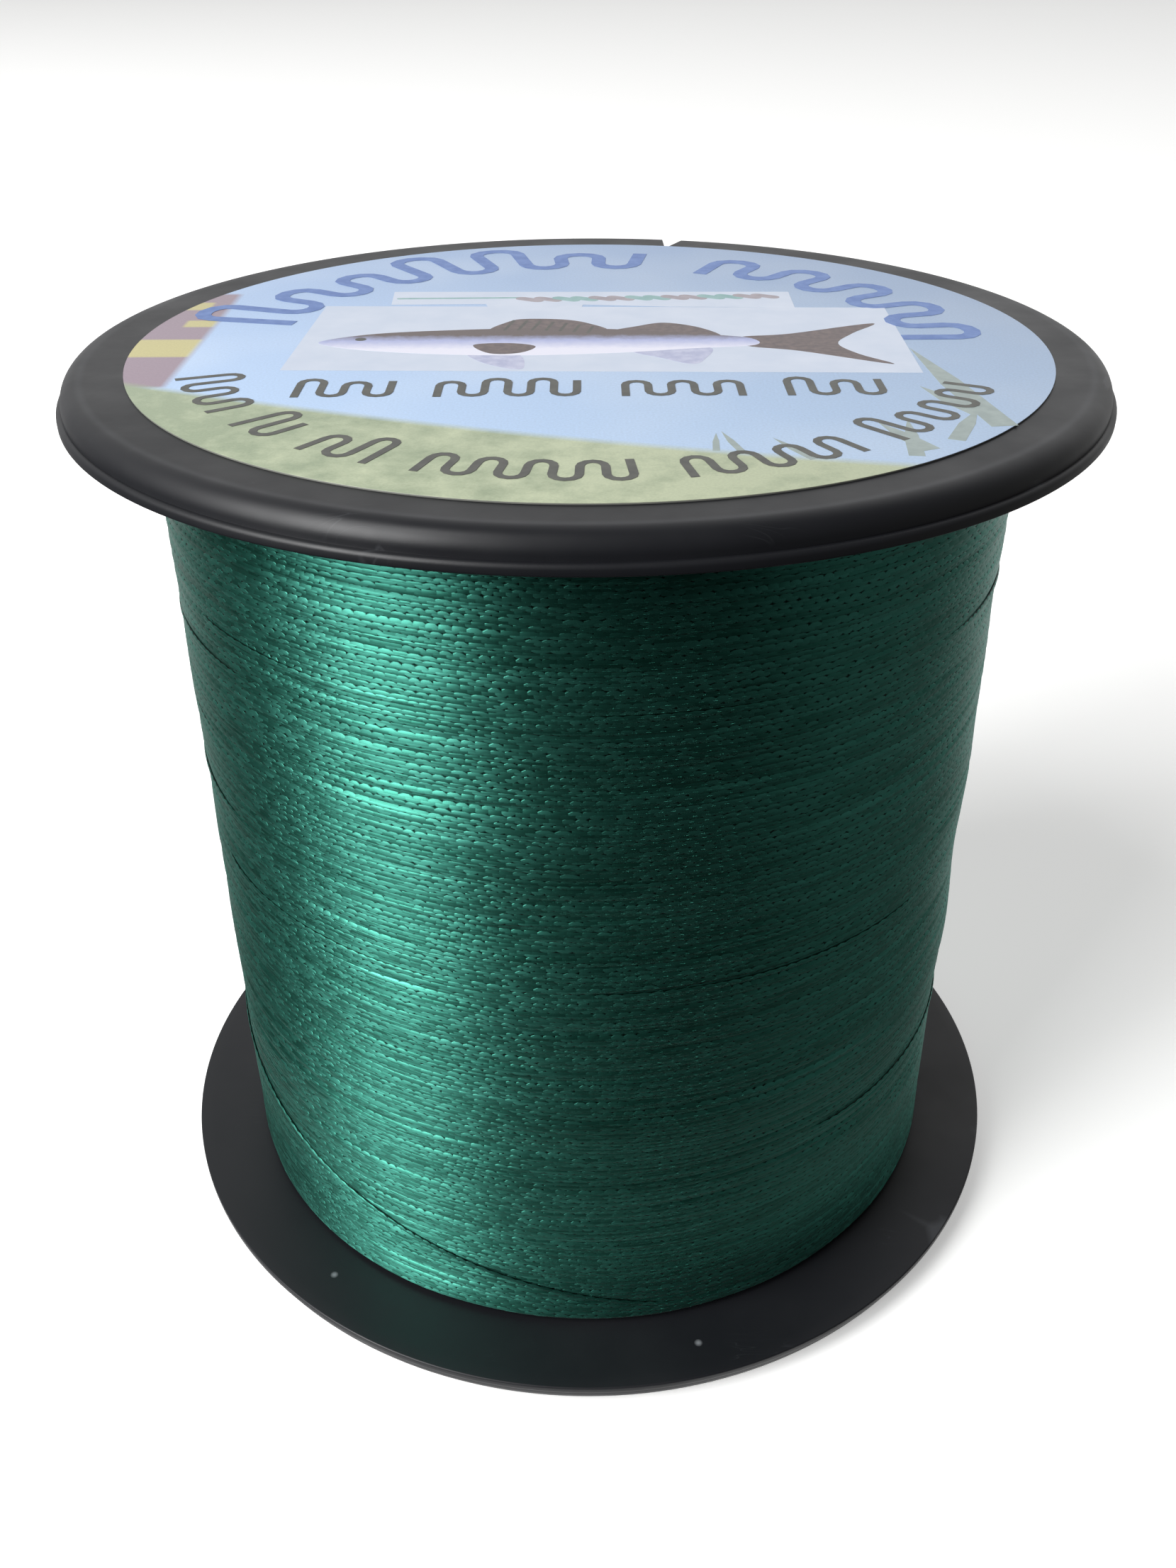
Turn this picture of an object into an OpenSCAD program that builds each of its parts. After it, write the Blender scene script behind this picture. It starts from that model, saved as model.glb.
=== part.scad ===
// Bulk spool of braided fishing line.
// The spool stands on its lower flange: Z is the winding axis, Z = 0 is the face it rests on, and the
// front of the printed label faces -Y. Angles of places round the axis are counted from +X.

/* [Flanges] */
// Outer diameter over the lip of a flange
flange_d = 70; // [64:1:90]
// Height of the bare spool, from one outer face to the other
spool_h = 67.4; // [50:0.1:90]
// Thickness of a flange
flange_t = 2.2; // [2:0.1:3]
// Height of the thin lip on the winding side of the rim
lip_h = 0.7; // [0.5:0.1:1]
// How far the lip stands out from the wall of the rim
lip_out = 0.35; // [0.2:0.05:0.6]
// Radius of the rounded shoulder between the outer face and the wall of the rim
shoulder_r = 1.2; // [0.4:0.1:1.4]

/* [Line notch] */
// Place of the notch round the rim of the upper flange
notch_angle = 77; // [0:1:359]
// How deep the notch runs in from the lip
notch_depth = 4.5; // [2:0.1:4.6]
// Width of the notch where it opens at the rim, before its lips are rounded
notch_w = 2.4; // [1:0.1:3]
// Width of the slot at the bottom of the notch
notch_tip_w = 0.15; // [0.1:0.05:0.5]
// Radius of the rounded lips of the notch
notch_lip_r = 0.7; // [0.3:0.1:1]

/* [Core] */
// Outer diameter of the core tube that the line is wound on
core_d = 54.4; // [52:0.1:55]
// Wall of the core tube
core_wall = 1.6; // [1.2:0.1:2]
// Bore of the arbor tube
bore_d = 12; // [8:0.5:16]
// Wall of the arbor tube
arbor_wall = 1.5; // [1:0.1:2]
// How far the ends of the arbor tube sit below the outer faces
arbor_inset = 0.3; // [0.1:0.1:0.5]
// Lead-in chamfer at both mouths of the bore
bore_chamfer = 0.5; // [0.2:0.1:0.8]

/* [Flange fixings] */
// Height of the centring ring, the arbor boss and the ribs above the inner face
ring_h = 4; // [3:0.5:6]
// Wall of the centring ring and of the arbor boss
ring_wall = 1.6; // [1:0.1:2]
// Gap between the centring ring and the inside of the core tube
ring_gap = 0.1; // [0.05:0.05:0.2]
// Height of the stiffening ribs above the inner face
rib_h = 3; // [1:0.5:3]
// Number of stiffening ribs, which is also the number of driving keys
rib_n = 6; // [3:1:8]
// Thickness of a rib
rib_t = 1.2; // [0.8:0.1:2]
// Width of a driving key on the centring ring
key_w = 4; // [2:0.5:6]
// Height of a driving key above the inner face
key_h = 2.5; // [1:0.5:3]
// Gap round a driving key in its slot
key_gap = 0.1; // [0.05:0.05:0.2]

/* [Line] */
// Diameter of the wound-up line, which leaves the edge of the flanges free
winding_d = 58.6; // [57:0.1:60]
// Diameter of the boundary between the inner and the outer layers of line
layer_d = 57; // [56:0.1:57.2]
// Gap between the winding and each flange
winding_gap = 0.1; // [0.05:0.05:0.3]
// Radius of the edge where the outer layers roll down to the flanges
winding_edge_r = 0.6; // [0.2:0.1:0.7]
// Diameter of the line where it shows as a single strand
line_d = 0.35; // [0.2:0.05:0.4]
// Angle at which the last turn leaves the lower flange
last_turn_start = -72; // [-90:1:0]
// How far the last turn runs round the winding before its end is tucked in
last_turn_sweep = 250; // [120:10:320]
// Rise of the last turn for each full turn round the winding
last_turn_lead = 45; // [20:1:50]

/* [Starter] */
// Width of the tape that holds the first end of the line, along the core tube
tape_w = 19; // [10:1:25]
// Length of that tape round the core tube, as an angle
tape_angle = 44; // [20:1:60]
// Thickness of the tape where it is folded over the line
tape_t = 0.45; // [0.45:0.05:0.55]
// Length of the first end of the line on the core tube, as an angle
start_angle = 34; // [15:1:50]

/* [Label] */
// Diameter of the round paper label on the upper flange
label_d = 61.4; // [50:0.1:62]
// Thickness of the label
label_t = 0.12; // [0.1:0.01:0.2]
// How far the label was stuck off the axis, to the right
label_off_x = 0.2; // [-0.3:0.1:0.3]
// How far the label was stuck off the axis, to the back
label_off_y = -0.3; // [-0.3:0.1:0.3]

/* [Hidden] */

$fn = 96;
RIM_FN = 180;
ARC_FN = 64;
EDGE_FN = 32;

// How far a solid sinks into the one it is joined to, and how far a cut runs past what it cuts
EPS = 0.01;
CUT = 1;

flange_r = flange_d / 2;
rim_r = flange_r - lip_out;
lip_edge_r = lip_h * 0.2;
core_r = core_d / 2;
core_bore_r = core_r - core_wall;
bore_r = bore_d / 2;
arbor_r = bore_r + arbor_wall;
arbor_h = spool_h - 2 * arbor_inset;
centring_r = core_bore_r - ring_gap;
barrel_h = spool_h - 2 * flange_t;
winding_h = barrel_h - 2 * winding_gap;
winding_r = winding_d / 2;
layer_r = layer_d / 2;
notch_tip_r = flange_r - notch_depth;
line_r = line_d / 2;

// The driving keys sit half-way between the ribs
key_angle = 180 / rib_n;
key_tip_r = core_r - key_gap;

// The last turn lies on the winding, and is swept as rings of this many sides, this far apart
last_turn_r = winding_r + line_r;
last_turn_z = flange_t + winding_gap + winding_edge_r;
TUBE_SIDES = 8;
TUBE_STEP = 5;
tube_rings = floor(last_turn_sweep / TUBE_STEP);

BLACK = [0.10, 0.10, 0.11];
GREY = [0.20, 0.20, 0.21];
GREEN = [0.10, 0.38, 0.30];
DARK_GREEN = [0.06, 0.26, 0.20];
TAPE = [0.78, 0.72, 0.55];
PAPER = [0.72, 0.80, 0.88];

// A tube of height h from z = 0
module ring(outer, inner, h) {
    difference() {
        cylinder(h = h, r = outer);
        translate([0, 0, -CUT]) cylinder(h = h + 2 * CUT, r = inner);
    }
}

// Half of a flange's section, with its outer face on the X axis and the winding above it
module flange_section() {
    square([rim_r - shoulder_r, flange_t]);
    translate([rim_r - shoulder_r, shoulder_r]) circle(r = shoulder_r);
    translate([0, shoulder_r]) square([rim_r, flange_t - shoulder_r]);
    translate([0, flange_t - lip_h]) square([flange_r - lip_edge_r, lip_h]);
    translate([0, flange_t - lip_h + lip_edge_r]) square([flange_r, lip_h - 2 * lip_edge_r]);
    for (z = [flange_t - lip_h + lip_edge_r, flange_t - lip_edge_r])
        translate([flange_r - lip_edge_r, z]) circle(r = lip_edge_r, $fn = EDGE_FN);
}

// Outline of the notch that holds the loose end of the line, opening towards +Y.
// Each lip is an arc that meets the flank where the two are tangent.
module notch_outline() {
    flank = atan((notch_w - notch_tip_w) / 2 / notch_depth);
    lip_y = flange_r - notch_lip_r;
    flank_x = notch_tip_w / 2 + (lip_y - notch_tip_r) * tan(flank);
    lip_x = flank_x + notch_lip_r / cos(flank);
    tangent_y = lip_y + notch_lip_r * sin(flank);
    mouth_x = notch_w / 2 + CUT * tan(flank);
    polygon([
        [-notch_tip_w / 2, notch_tip_r], [notch_tip_w / 2, notch_tip_r],
        [mouth_x, flange_r + CUT], [-mouth_x, flange_r + CUT]
    ]);
    for (side = [0, 1]) mirror([side, 0])
        difference() {
            translate([0, tangent_y]) square([lip_x, flange_r + CUT - tangent_y]);
            translate([lip_x, lip_y]) circle(r = notch_lip_r, $fn = ARC_FN);
        }
}

// One moulded flange: disc, centring ring with its driving keys, arbor boss and ribs
module flange() {
    difference() {
        union() {
            rotate_extrude($fn = RIM_FN) flange_section();
            translate([0, 0, flange_t]) {
                ring(centring_r, centring_r - ring_wall, ring_h);
                ring(arbor_r + ring_wall, arbor_r, ring_h);
                for (i = [0 : rib_n - 1]) {
                    rotate(i * 360 / rib_n) translate([arbor_r + EPS, -rib_t / 2, -EPS])
                        cube([centring_r - ring_wall / 2 - arbor_r, rib_t, rib_h + EPS]);
                    rotate(i * 360 / rib_n + key_angle)
                        translate([centring_r - ring_wall / 2, -key_w / 2, -EPS])
                            cube([key_tip_r - centring_r + ring_wall / 2, key_w, key_h + EPS]);
                }
            }
        }
        translate([0, 0, -CUT]) cylinder(h = flange_t + ring_h + 2 * CUT, r = arbor_r);
    }
}

module lower_flange() {
    color(BLACK) flange();
}

module upper_flange() {
    color(BLACK)
        difference() {
            translate([0, 0, spool_h]) mirror([0, 0, 1]) flange();
            translate([0, 0, spool_h - flange_t - CUT]) rotate(notch_angle - 90)
                linear_extrude(height = flange_t + 2 * CUT) notch_outline();
        }
}

// The drum under the line, with a slot at each end for every driving key
module core_tube() {
    slot_w = key_w + 2 * key_gap;
    slot_h = key_h + key_gap;
    color(GREY)
        difference() {
            translate([0, 0, flange_t]) ring(core_r, core_bore_r, barrel_h);
            for (i = [0 : rib_n - 1], z = [flange_t - CUT, spool_h - flange_t - slot_h])
                rotate(i * 360 / rib_n + key_angle) translate([core_bore_r - CUT, -slot_w / 2, z])
                    cube([core_wall + 2 * CUT, slot_w, slot_h + CUT]);
        }
}

// The tube that turns on a spindle, pressed through both flanges
module arbor_tube() {
    color(GREY)
        translate([0, 0, arbor_inset])
            difference() {
                cylinder(h = arbor_h, r = arbor_r);
                translate([0, 0, -CUT]) cylinder(h = arbor_h + 2 * CUT, r = bore_r);
                translate([0, 0, -EPS])
                    cylinder(h = bore_chamfer + EPS, r1 = bore_r + bore_chamfer, r2 = bore_r);
                translate([0, 0, arbor_h - bore_chamfer])
                    cylinder(h = bore_chamfer + EPS, r1 = bore_r, r2 = bore_r + bore_chamfer);
            }
}

// Solid room of the starter tape, half-way up the core tube at the back
module tape_room() {
    rotate([0, 0, 90 - tape_angle / 2])
        rotate_extrude(angle = tape_angle)
            translate([core_r, (spool_h - tape_w) / 2]) square([tape_t, tape_w]);
}

// Solid room of the first end of the line, which starts under the middle of the tape
module start_room() {
    rotate([0, 0, 90])
        rotate_extrude(angle = start_angle)
            translate([core_r + line_r, spool_h / 2]) circle(r = line_r, $fn = EDGE_FN);
}

module starter_tape() {
    color(TAPE) difference() {
        tape_room();
        start_room();
    }
}

module line_start() {
    color(DARK_GREEN) start_room();
}

module line_inner_layers() {
    color(DARK_GREEN)
        difference() {
            translate([0, 0, flange_t + winding_gap]) ring(layer_r, core_r, winding_h);
            tape_room();
            start_room();
        }
}

// The layers that show, rounded where they roll down to the flanges
module line_outer_layers() {
    body_r = winding_r - winding_edge_r;
    color(GREEN)
        translate([0, 0, flange_t + winding_gap])
            rotate_extrude($fn = RIM_FN)
                difference() {
                    union() {
                        square([body_r, winding_h]);
                        translate([0, winding_edge_r])
                            square([winding_r, winding_h - 2 * winding_edge_r]);
                        for (z = [winding_edge_r, winding_h - winding_edge_r])
                            translate([body_r, z]) circle(r = winding_edge_r, $fn = ARC_FN);
                    }
                    translate([-CUT, -CUT]) square([layer_r + CUT, winding_h + 2 * CUT]);
                }
}

// Centre of ring i of the last turn, which climbs the winding as a steep helix
function last_turn_angle(i) = last_turn_start - i * TUBE_STEP;
function last_turn_rise(i) = last_turn_z + i * TUBE_STEP / 360 * last_turn_lead;
function last_turn_ring(i) = [
    for (k = [0 : TUBE_SIDES - 1])
        let (a = k * 360 / TUBE_SIDES, r = last_turn_r + line_r * cos(a))
            [
                r * cos(last_turn_angle(i)),
                r * sin(last_turn_angle(i)),
                last_turn_rise(i) + line_r * sin(a)
            ]
];

// The last turn of the line, crossing the others from the lower flange upwards
module line_last_turn() {
    points = [for (i = [0 : tube_rings]) each last_turn_ring(i)];
    sides = [
        for (i = [0 : tube_rings - 1], k = [0 : TUBE_SIDES - 1])
            let (a = i * TUBE_SIDES, next = (k + 1) % TUBE_SIDES)
                [a + k, a + next, a + TUBE_SIDES + next, a + TUBE_SIDES + k]
    ];
    first = [for (k = [0 : TUBE_SIDES - 1]) TUBE_SIDES - 1 - k];
    last = [for (k = [0 : TUBE_SIDES - 1]) tube_rings * TUBE_SIDES + k];
    color(GREEN) polyhedron(points, concat([first], sides, [last]));
}

module paper_label() {
    color(PAPER)
        translate([label_off_x, label_off_y, spool_h]) cylinder(h = label_t, d = label_d, $fn = RIM_FN);
}

upper_flange();
lower_flange();
core_tube();
arbor_tube();
starter_tape();
line_start();
line_inner_layers();
line_outer_layers();
line_last_turn();
paper_label();
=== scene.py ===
"""Looks of a bulk spool of braided fishing line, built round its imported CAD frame.

The spool stands on its lower flange. Z is the winding axis, and the foot of the printed label faces -Y.
Sizes in the classes are in millimetres and angles in degrees; the meshes themselves are in metres.
"""

import logging
import math
import random
from collections.abc import Callable, Sequence
from dataclasses import dataclass, field
from enum import Enum

import bmesh
import bpy
from bmesh.types import BMesh
from mathutils import Matrix, Vector, noise


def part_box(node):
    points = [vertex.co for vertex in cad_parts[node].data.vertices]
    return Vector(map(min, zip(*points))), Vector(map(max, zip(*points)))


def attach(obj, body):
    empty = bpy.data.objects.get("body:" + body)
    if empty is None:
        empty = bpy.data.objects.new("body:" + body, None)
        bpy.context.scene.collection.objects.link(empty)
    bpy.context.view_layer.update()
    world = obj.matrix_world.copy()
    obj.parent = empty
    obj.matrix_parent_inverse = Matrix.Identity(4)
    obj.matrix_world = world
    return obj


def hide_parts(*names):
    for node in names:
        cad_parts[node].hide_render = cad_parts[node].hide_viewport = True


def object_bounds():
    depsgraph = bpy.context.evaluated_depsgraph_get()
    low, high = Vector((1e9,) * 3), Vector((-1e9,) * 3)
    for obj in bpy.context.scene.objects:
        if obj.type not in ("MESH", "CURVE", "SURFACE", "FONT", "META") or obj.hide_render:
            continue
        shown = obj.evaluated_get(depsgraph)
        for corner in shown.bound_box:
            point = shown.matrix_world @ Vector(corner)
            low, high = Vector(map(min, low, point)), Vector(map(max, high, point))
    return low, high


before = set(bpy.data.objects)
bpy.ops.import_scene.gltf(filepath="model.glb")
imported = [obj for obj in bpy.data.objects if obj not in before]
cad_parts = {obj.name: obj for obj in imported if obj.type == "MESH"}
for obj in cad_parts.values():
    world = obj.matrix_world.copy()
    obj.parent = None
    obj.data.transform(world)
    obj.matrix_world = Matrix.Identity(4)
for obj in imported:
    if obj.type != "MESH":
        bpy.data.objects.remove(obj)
CAD_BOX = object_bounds()

MM = 0.001
LOG = logging.getLogger("spool")
Point = tuple[float, float]


class Slot(Enum):
    """The record's material slots, by name."""

    FLANGE = "flange_plastic"
    LINE = "braided_line"
    LABEL = "label_paper"


class Join(Enum):
    """How one closed mesh is combined with another."""

    CUT = "DIFFERENCE"
    ADD = "UNION"


# ---------------------------------------------------------------- colours and node trees


def linear(code: str) -> tuple[float, float, float, float]:
    """Turns an sRGB hex colour into a linear one.

    Args:
        code: The colour as "#RRGGBB".

    Returns:
        Red, green, blue and alpha, as Blender's sockets take them.
    """
    channels = [int(code[i:i + 2], 16) / 255 for i in (1, 3, 5)]
    straight = [c / 12.92 if c <= 0.04045 else ((c + 0.055) / 1.055) ** 2.4 for c in channels]
    return (*straight, 1.0)


class Tree:
    """The node tree of one material or world, which starts from a single shader."""

    def __init__(self, owner: bpy.types.Material | bpy.types.World, shader: str = "Principled BSDF") -> None:
        """Starts the tree.

        Args:
            owner: The material or the world.
            shader: Name of the shader node it starts with.
        """
        self.owner = owner
        self.owner.use_nodes = True
        self.nodes = self.owner.node_tree.nodes
        self.shader = self.nodes[shader]

    def add(
        self, kind: str, inputs: dict | None = None, out: int | str = 0, **settings,
    ) -> bpy.types.NodeSocket:
        """Adds a node with its settings and links.

        Args:
            kind: The node's type, without the word ShaderNode.
            inputs: Socket name or number to a value, or to the socket that feeds it.
            out: The output that is handed back.
            **settings: The node's own properties.

        Returns:
            The chosen output socket.
        """
        node = self.nodes.new("ShaderNode" + kind)
        for key, value in settings.items():
            setattr(node, key, value)
        self.feed(node, inputs or {})
        return node.outputs[out]

    def feed(self, node: bpy.types.Node, inputs: dict) -> None:
        """Sets or links a node's inputs.

        Args:
            node: The node to feed.
            inputs: Socket name or number to a value, or to the socket that feeds it.
        """
        for key, value in inputs.items():
            if isinstance(value, bpy.types.NodeSocket):
                self.owner.node_tree.links.new(value, node.inputs[key])
            else:
                node.inputs[key].default_value = value

    def shade(self, inputs: dict) -> bpy.types.Material | bpy.types.World:
        """Feeds the shader and hands the finished material or world back.

        Args:
            inputs: The shader's inputs, as for feed.

        Returns:
            The owner of the tree.
        """
        self.feed(self.shader, inputs)
        return self.owner


# ---------------------------------------------------------------- finishes


@dataclass(frozen=True)
class MouldedPolystyrene:
    """Black injection-moulded polystyrene: satin, with a fine mould texture, hairline scuffs and dust."""

    name: str = "moulded_polystyrene_black"
    pigment: str = "#15161A"
    # Pale colour of scuffs and edge wear, also used for painted highlights on the edges and the ring
    rubbed_and_highlight: str = "#4A4C50"
    dust: str = "#85888C"
    ior: float = 1.59
    specular: float = 0.30
    roughness: tuple[float, float] = (0.40, 0.53)
    # Real spark texture is about 0.03 mm: it is drawn five times coarser, so that it shows
    texture_size: float = 0.15
    texture_depth: float = 0.0022
    gloss_patch: float = 9.0
    # Scuffs: width and height of one, how they are turned and drawn out, and the size of a scuffed patch
    scuff_width: float = 0.35
    scuff_height: float = 4.0
    scuff_lays: tuple[Point, ...] = ((0.6, 14.0), (-0.9, 9.0))
    scuff_patch: float = 6.0
    dust_spots: tuple[Point, ...] = ((-19.9, -24.9), (8.0, -31.2))
    dust_size: float = 0.34
    # The edge where the outer face rolls over gets a pale ring: a painted highlight
    highlight_ring_radius: float = 33.35
    highlight_ring_width: float = 0.42

    def make(self) -> bpy.types.Material:
        """Builds the material.

        Returns:
            The finished material.
        """
        tree = Tree(bpy.data.materials.new(self.name))
        place = tree.add("TexCoord", out="Object")
        grain = tree.add("TexNoise", {"Vector": place, "Scale": 1 / (self.texture_size * MM), "Detail": 2.0})
        cloud = tree.add("TexNoise", {
            "Vector": place, "Scale": 1 / (self.gloss_patch * MM), "Detail": 4.0, "Roughness": 0.6,
        })
        gloss = tree.add("MapRange", {
            "Value": cloud, 1: 0.3, 2: 0.7, 3: self.roughness[0], 4: self.roughness[1],
        })
        # Scuffs are hairlines that run in all directions: the thin zero lines of two warped noises
        streaks = []
        fine = 1 / (self.scuff_width * MM)
        for turn, stretch in self.scuff_lays:
            laid = tree.add("Mapping", {
                "Vector": place,
                "Rotation": (0.0, 0.0, turn),
                "Scale": (fine / stretch, fine, 1 / (self.scuff_height * MM)),
            })
            wave = tree.add("TexNoise", {"Vector": laid, "Scale": 0.5, "Detail": 1.0})
            off = tree.add("Math", {0: wave, 1: 0.5}, operation="SUBTRACT")
            line = tree.add("Math", {0: off}, operation="ABSOLUTE")
            streaks.append(tree.add("MapRange", {"Value": line, 1: 0.006, 2: 0.0, 3: 0.0, 4: 1.0}))
        scuffs = tree.add("Math", {0: streaks[0], 1: streaks[1]}, operation="MAXIMUM")
        patchy = tree.add("TexNoise", {"Vector": place, "Scale": 1 / (self.scuff_patch * MM), "Detail": 1.0})
        where = tree.add("MapRange", {"Value": patchy, 1: 0.58, 2: 0.70, 3: 0.0, 4: 0.25})
        scuffed = tree.add("Math", {0: scuffs, 1: where}, operation="MULTIPLY")
        # Sharp edges are lightened a little, which is wear together with painted highlight along the lip and
        # ledge, and the roll of each outer face gets a ring of painted highlight
        edge = tree.add("NewGeometry", out="Pointiness")
        worn_and_lit_edges = tree.add("MapRange", {"Value": edge, 1: 0.53, 2: 0.62, 3: 0.0, 4: 0.45})
        flat = tree.add("VectorMath", {0: place, 1: (1.0, 1.0, 0.0)}, operation="MULTIPLY")
        far = tree.add("VectorMath", {0: flat}, out="Value", operation="LENGTH")
        aside = tree.add("Math", {0: far, 1: self.highlight_ring_radius * MM}, operation="SUBTRACT")
        nearby = tree.add("Math", {0: aside}, operation="ABSOLUTE")
        # painted highlight: a pale ring round the roll of each outer face
        ring = tree.add("MapRange", {
            "Value": nearby, 1: self.highlight_ring_width * MM, 2: 0.0, 3: 0.0, 4: 0.2,
        }, interpolation_type="SMOOTHSTEP")
        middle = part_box("upper_flange")[1].z / 2
        high = tree.add("SeparateXYZ", {0: place}, out="Z")
        level = tree.add("Math", {0: high, 1: middle}, operation="SUBTRACT")
        ended = tree.add("Math", {0: level}, operation="ABSOLUTE")
        outside = tree.add("MapRange", {"Value": ended, 1: middle - 0.6 * MM, 2: middle - 0.3 * MM})
        highlight_ring_on_outer_faces = tree.add("Math", {0: ring, 1: outside}, operation="MULTIPLY")
        edge_wear_and_highlight = tree.add("Math", {0: worn_and_lit_edges, 1: highlight_ring_on_outer_faces}, operation="MAXIMUM")
        scuffs_wear_and_highlight = tree.add("Math", {0: scuffed, 1: edge_wear_and_highlight}, operation="MAXIMUM")
        # The pale colour paints scuffs and edge wear, and painted highlights on the edges and the ring
        colour = tree.add("Mix", {
            0: scuffs_wear_and_highlight, 6: linear(self.pigment), 7: linear(self.rubbed_and_highlight),
        }, out=2, data_type="RGBA")
        # Specks of dust on the lower flange, beside the line
        for x, y in self.dust_spots:
            spot = Vector((x * MM, y * MM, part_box("line_outer_layers")[0].z))
            far = tree.add("VectorMath", {0: place, 1: spot}, out="Value", operation="DISTANCE")
            near = tree.add("MapRange", {
                "Value": far, 1: self.dust_size * MM, 2: 0.3 * self.dust_size * MM, 3: 0.0, 4: 0.8,
            })
            colour = tree.add("Mix", {0: near, 6: colour, 7: linear(self.dust)}, out=2, data_type="RGBA")
        bump = tree.add("Bump", {
            "Height": grain, "Strength": 1.0, "Distance": self.texture_depth * MM,
        })
        return tree.shade({
            "Base Color": colour, "Roughness": gloss, "IOR": self.ior, "Normal": bump,
            "Specular IOR Level": self.specular,
        })


@dataclass(frozen=True)
class ExtrudedPolystyrene:
    """Black extruded polystyrene tube: duller than the flanges, with fine die lines along the tube."""

    name: str = "extruded_polystyrene_black"
    pigment: str = "#202124"
    pale: str = "#37383B"
    ior: float = 1.59
    line_spacing: float = 0.4
    line_depth: float = 0.004

    def make(self) -> bpy.types.Material:
        """Builds the material.

        Returns:
            The finished material.
        """
        tree = Tree(bpy.data.materials.new(self.name))
        place = tree.add("TexCoord", out="Object")
        laid = tree.add("Mapping", {
            "Vector": place,
            "Scale": (1 / (self.line_spacing * MM), 1 / (self.line_spacing * MM), 1 / (30 * MM)),
        })
        lines = tree.add("TexNoise", {"Vector": laid, "Scale": 1.0, "Detail": 3.0})
        colour = tree.add("Mix", {
            0: lines, 6: linear(self.pigment), 7: linear(self.pale),
        }, out=2, data_type="RGBA")
        gloss = tree.add("MapRange", {"Value": lines, 3: 0.42, 4: 0.58})
        bump = tree.add("Bump", {"Height": lines, "Strength": 1.0, "Distance": self.line_depth * MM})
        return tree.shade({"Base Color": colour, "Roughness": gloss, "IOR": self.ior, "Normal": bump})


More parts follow.
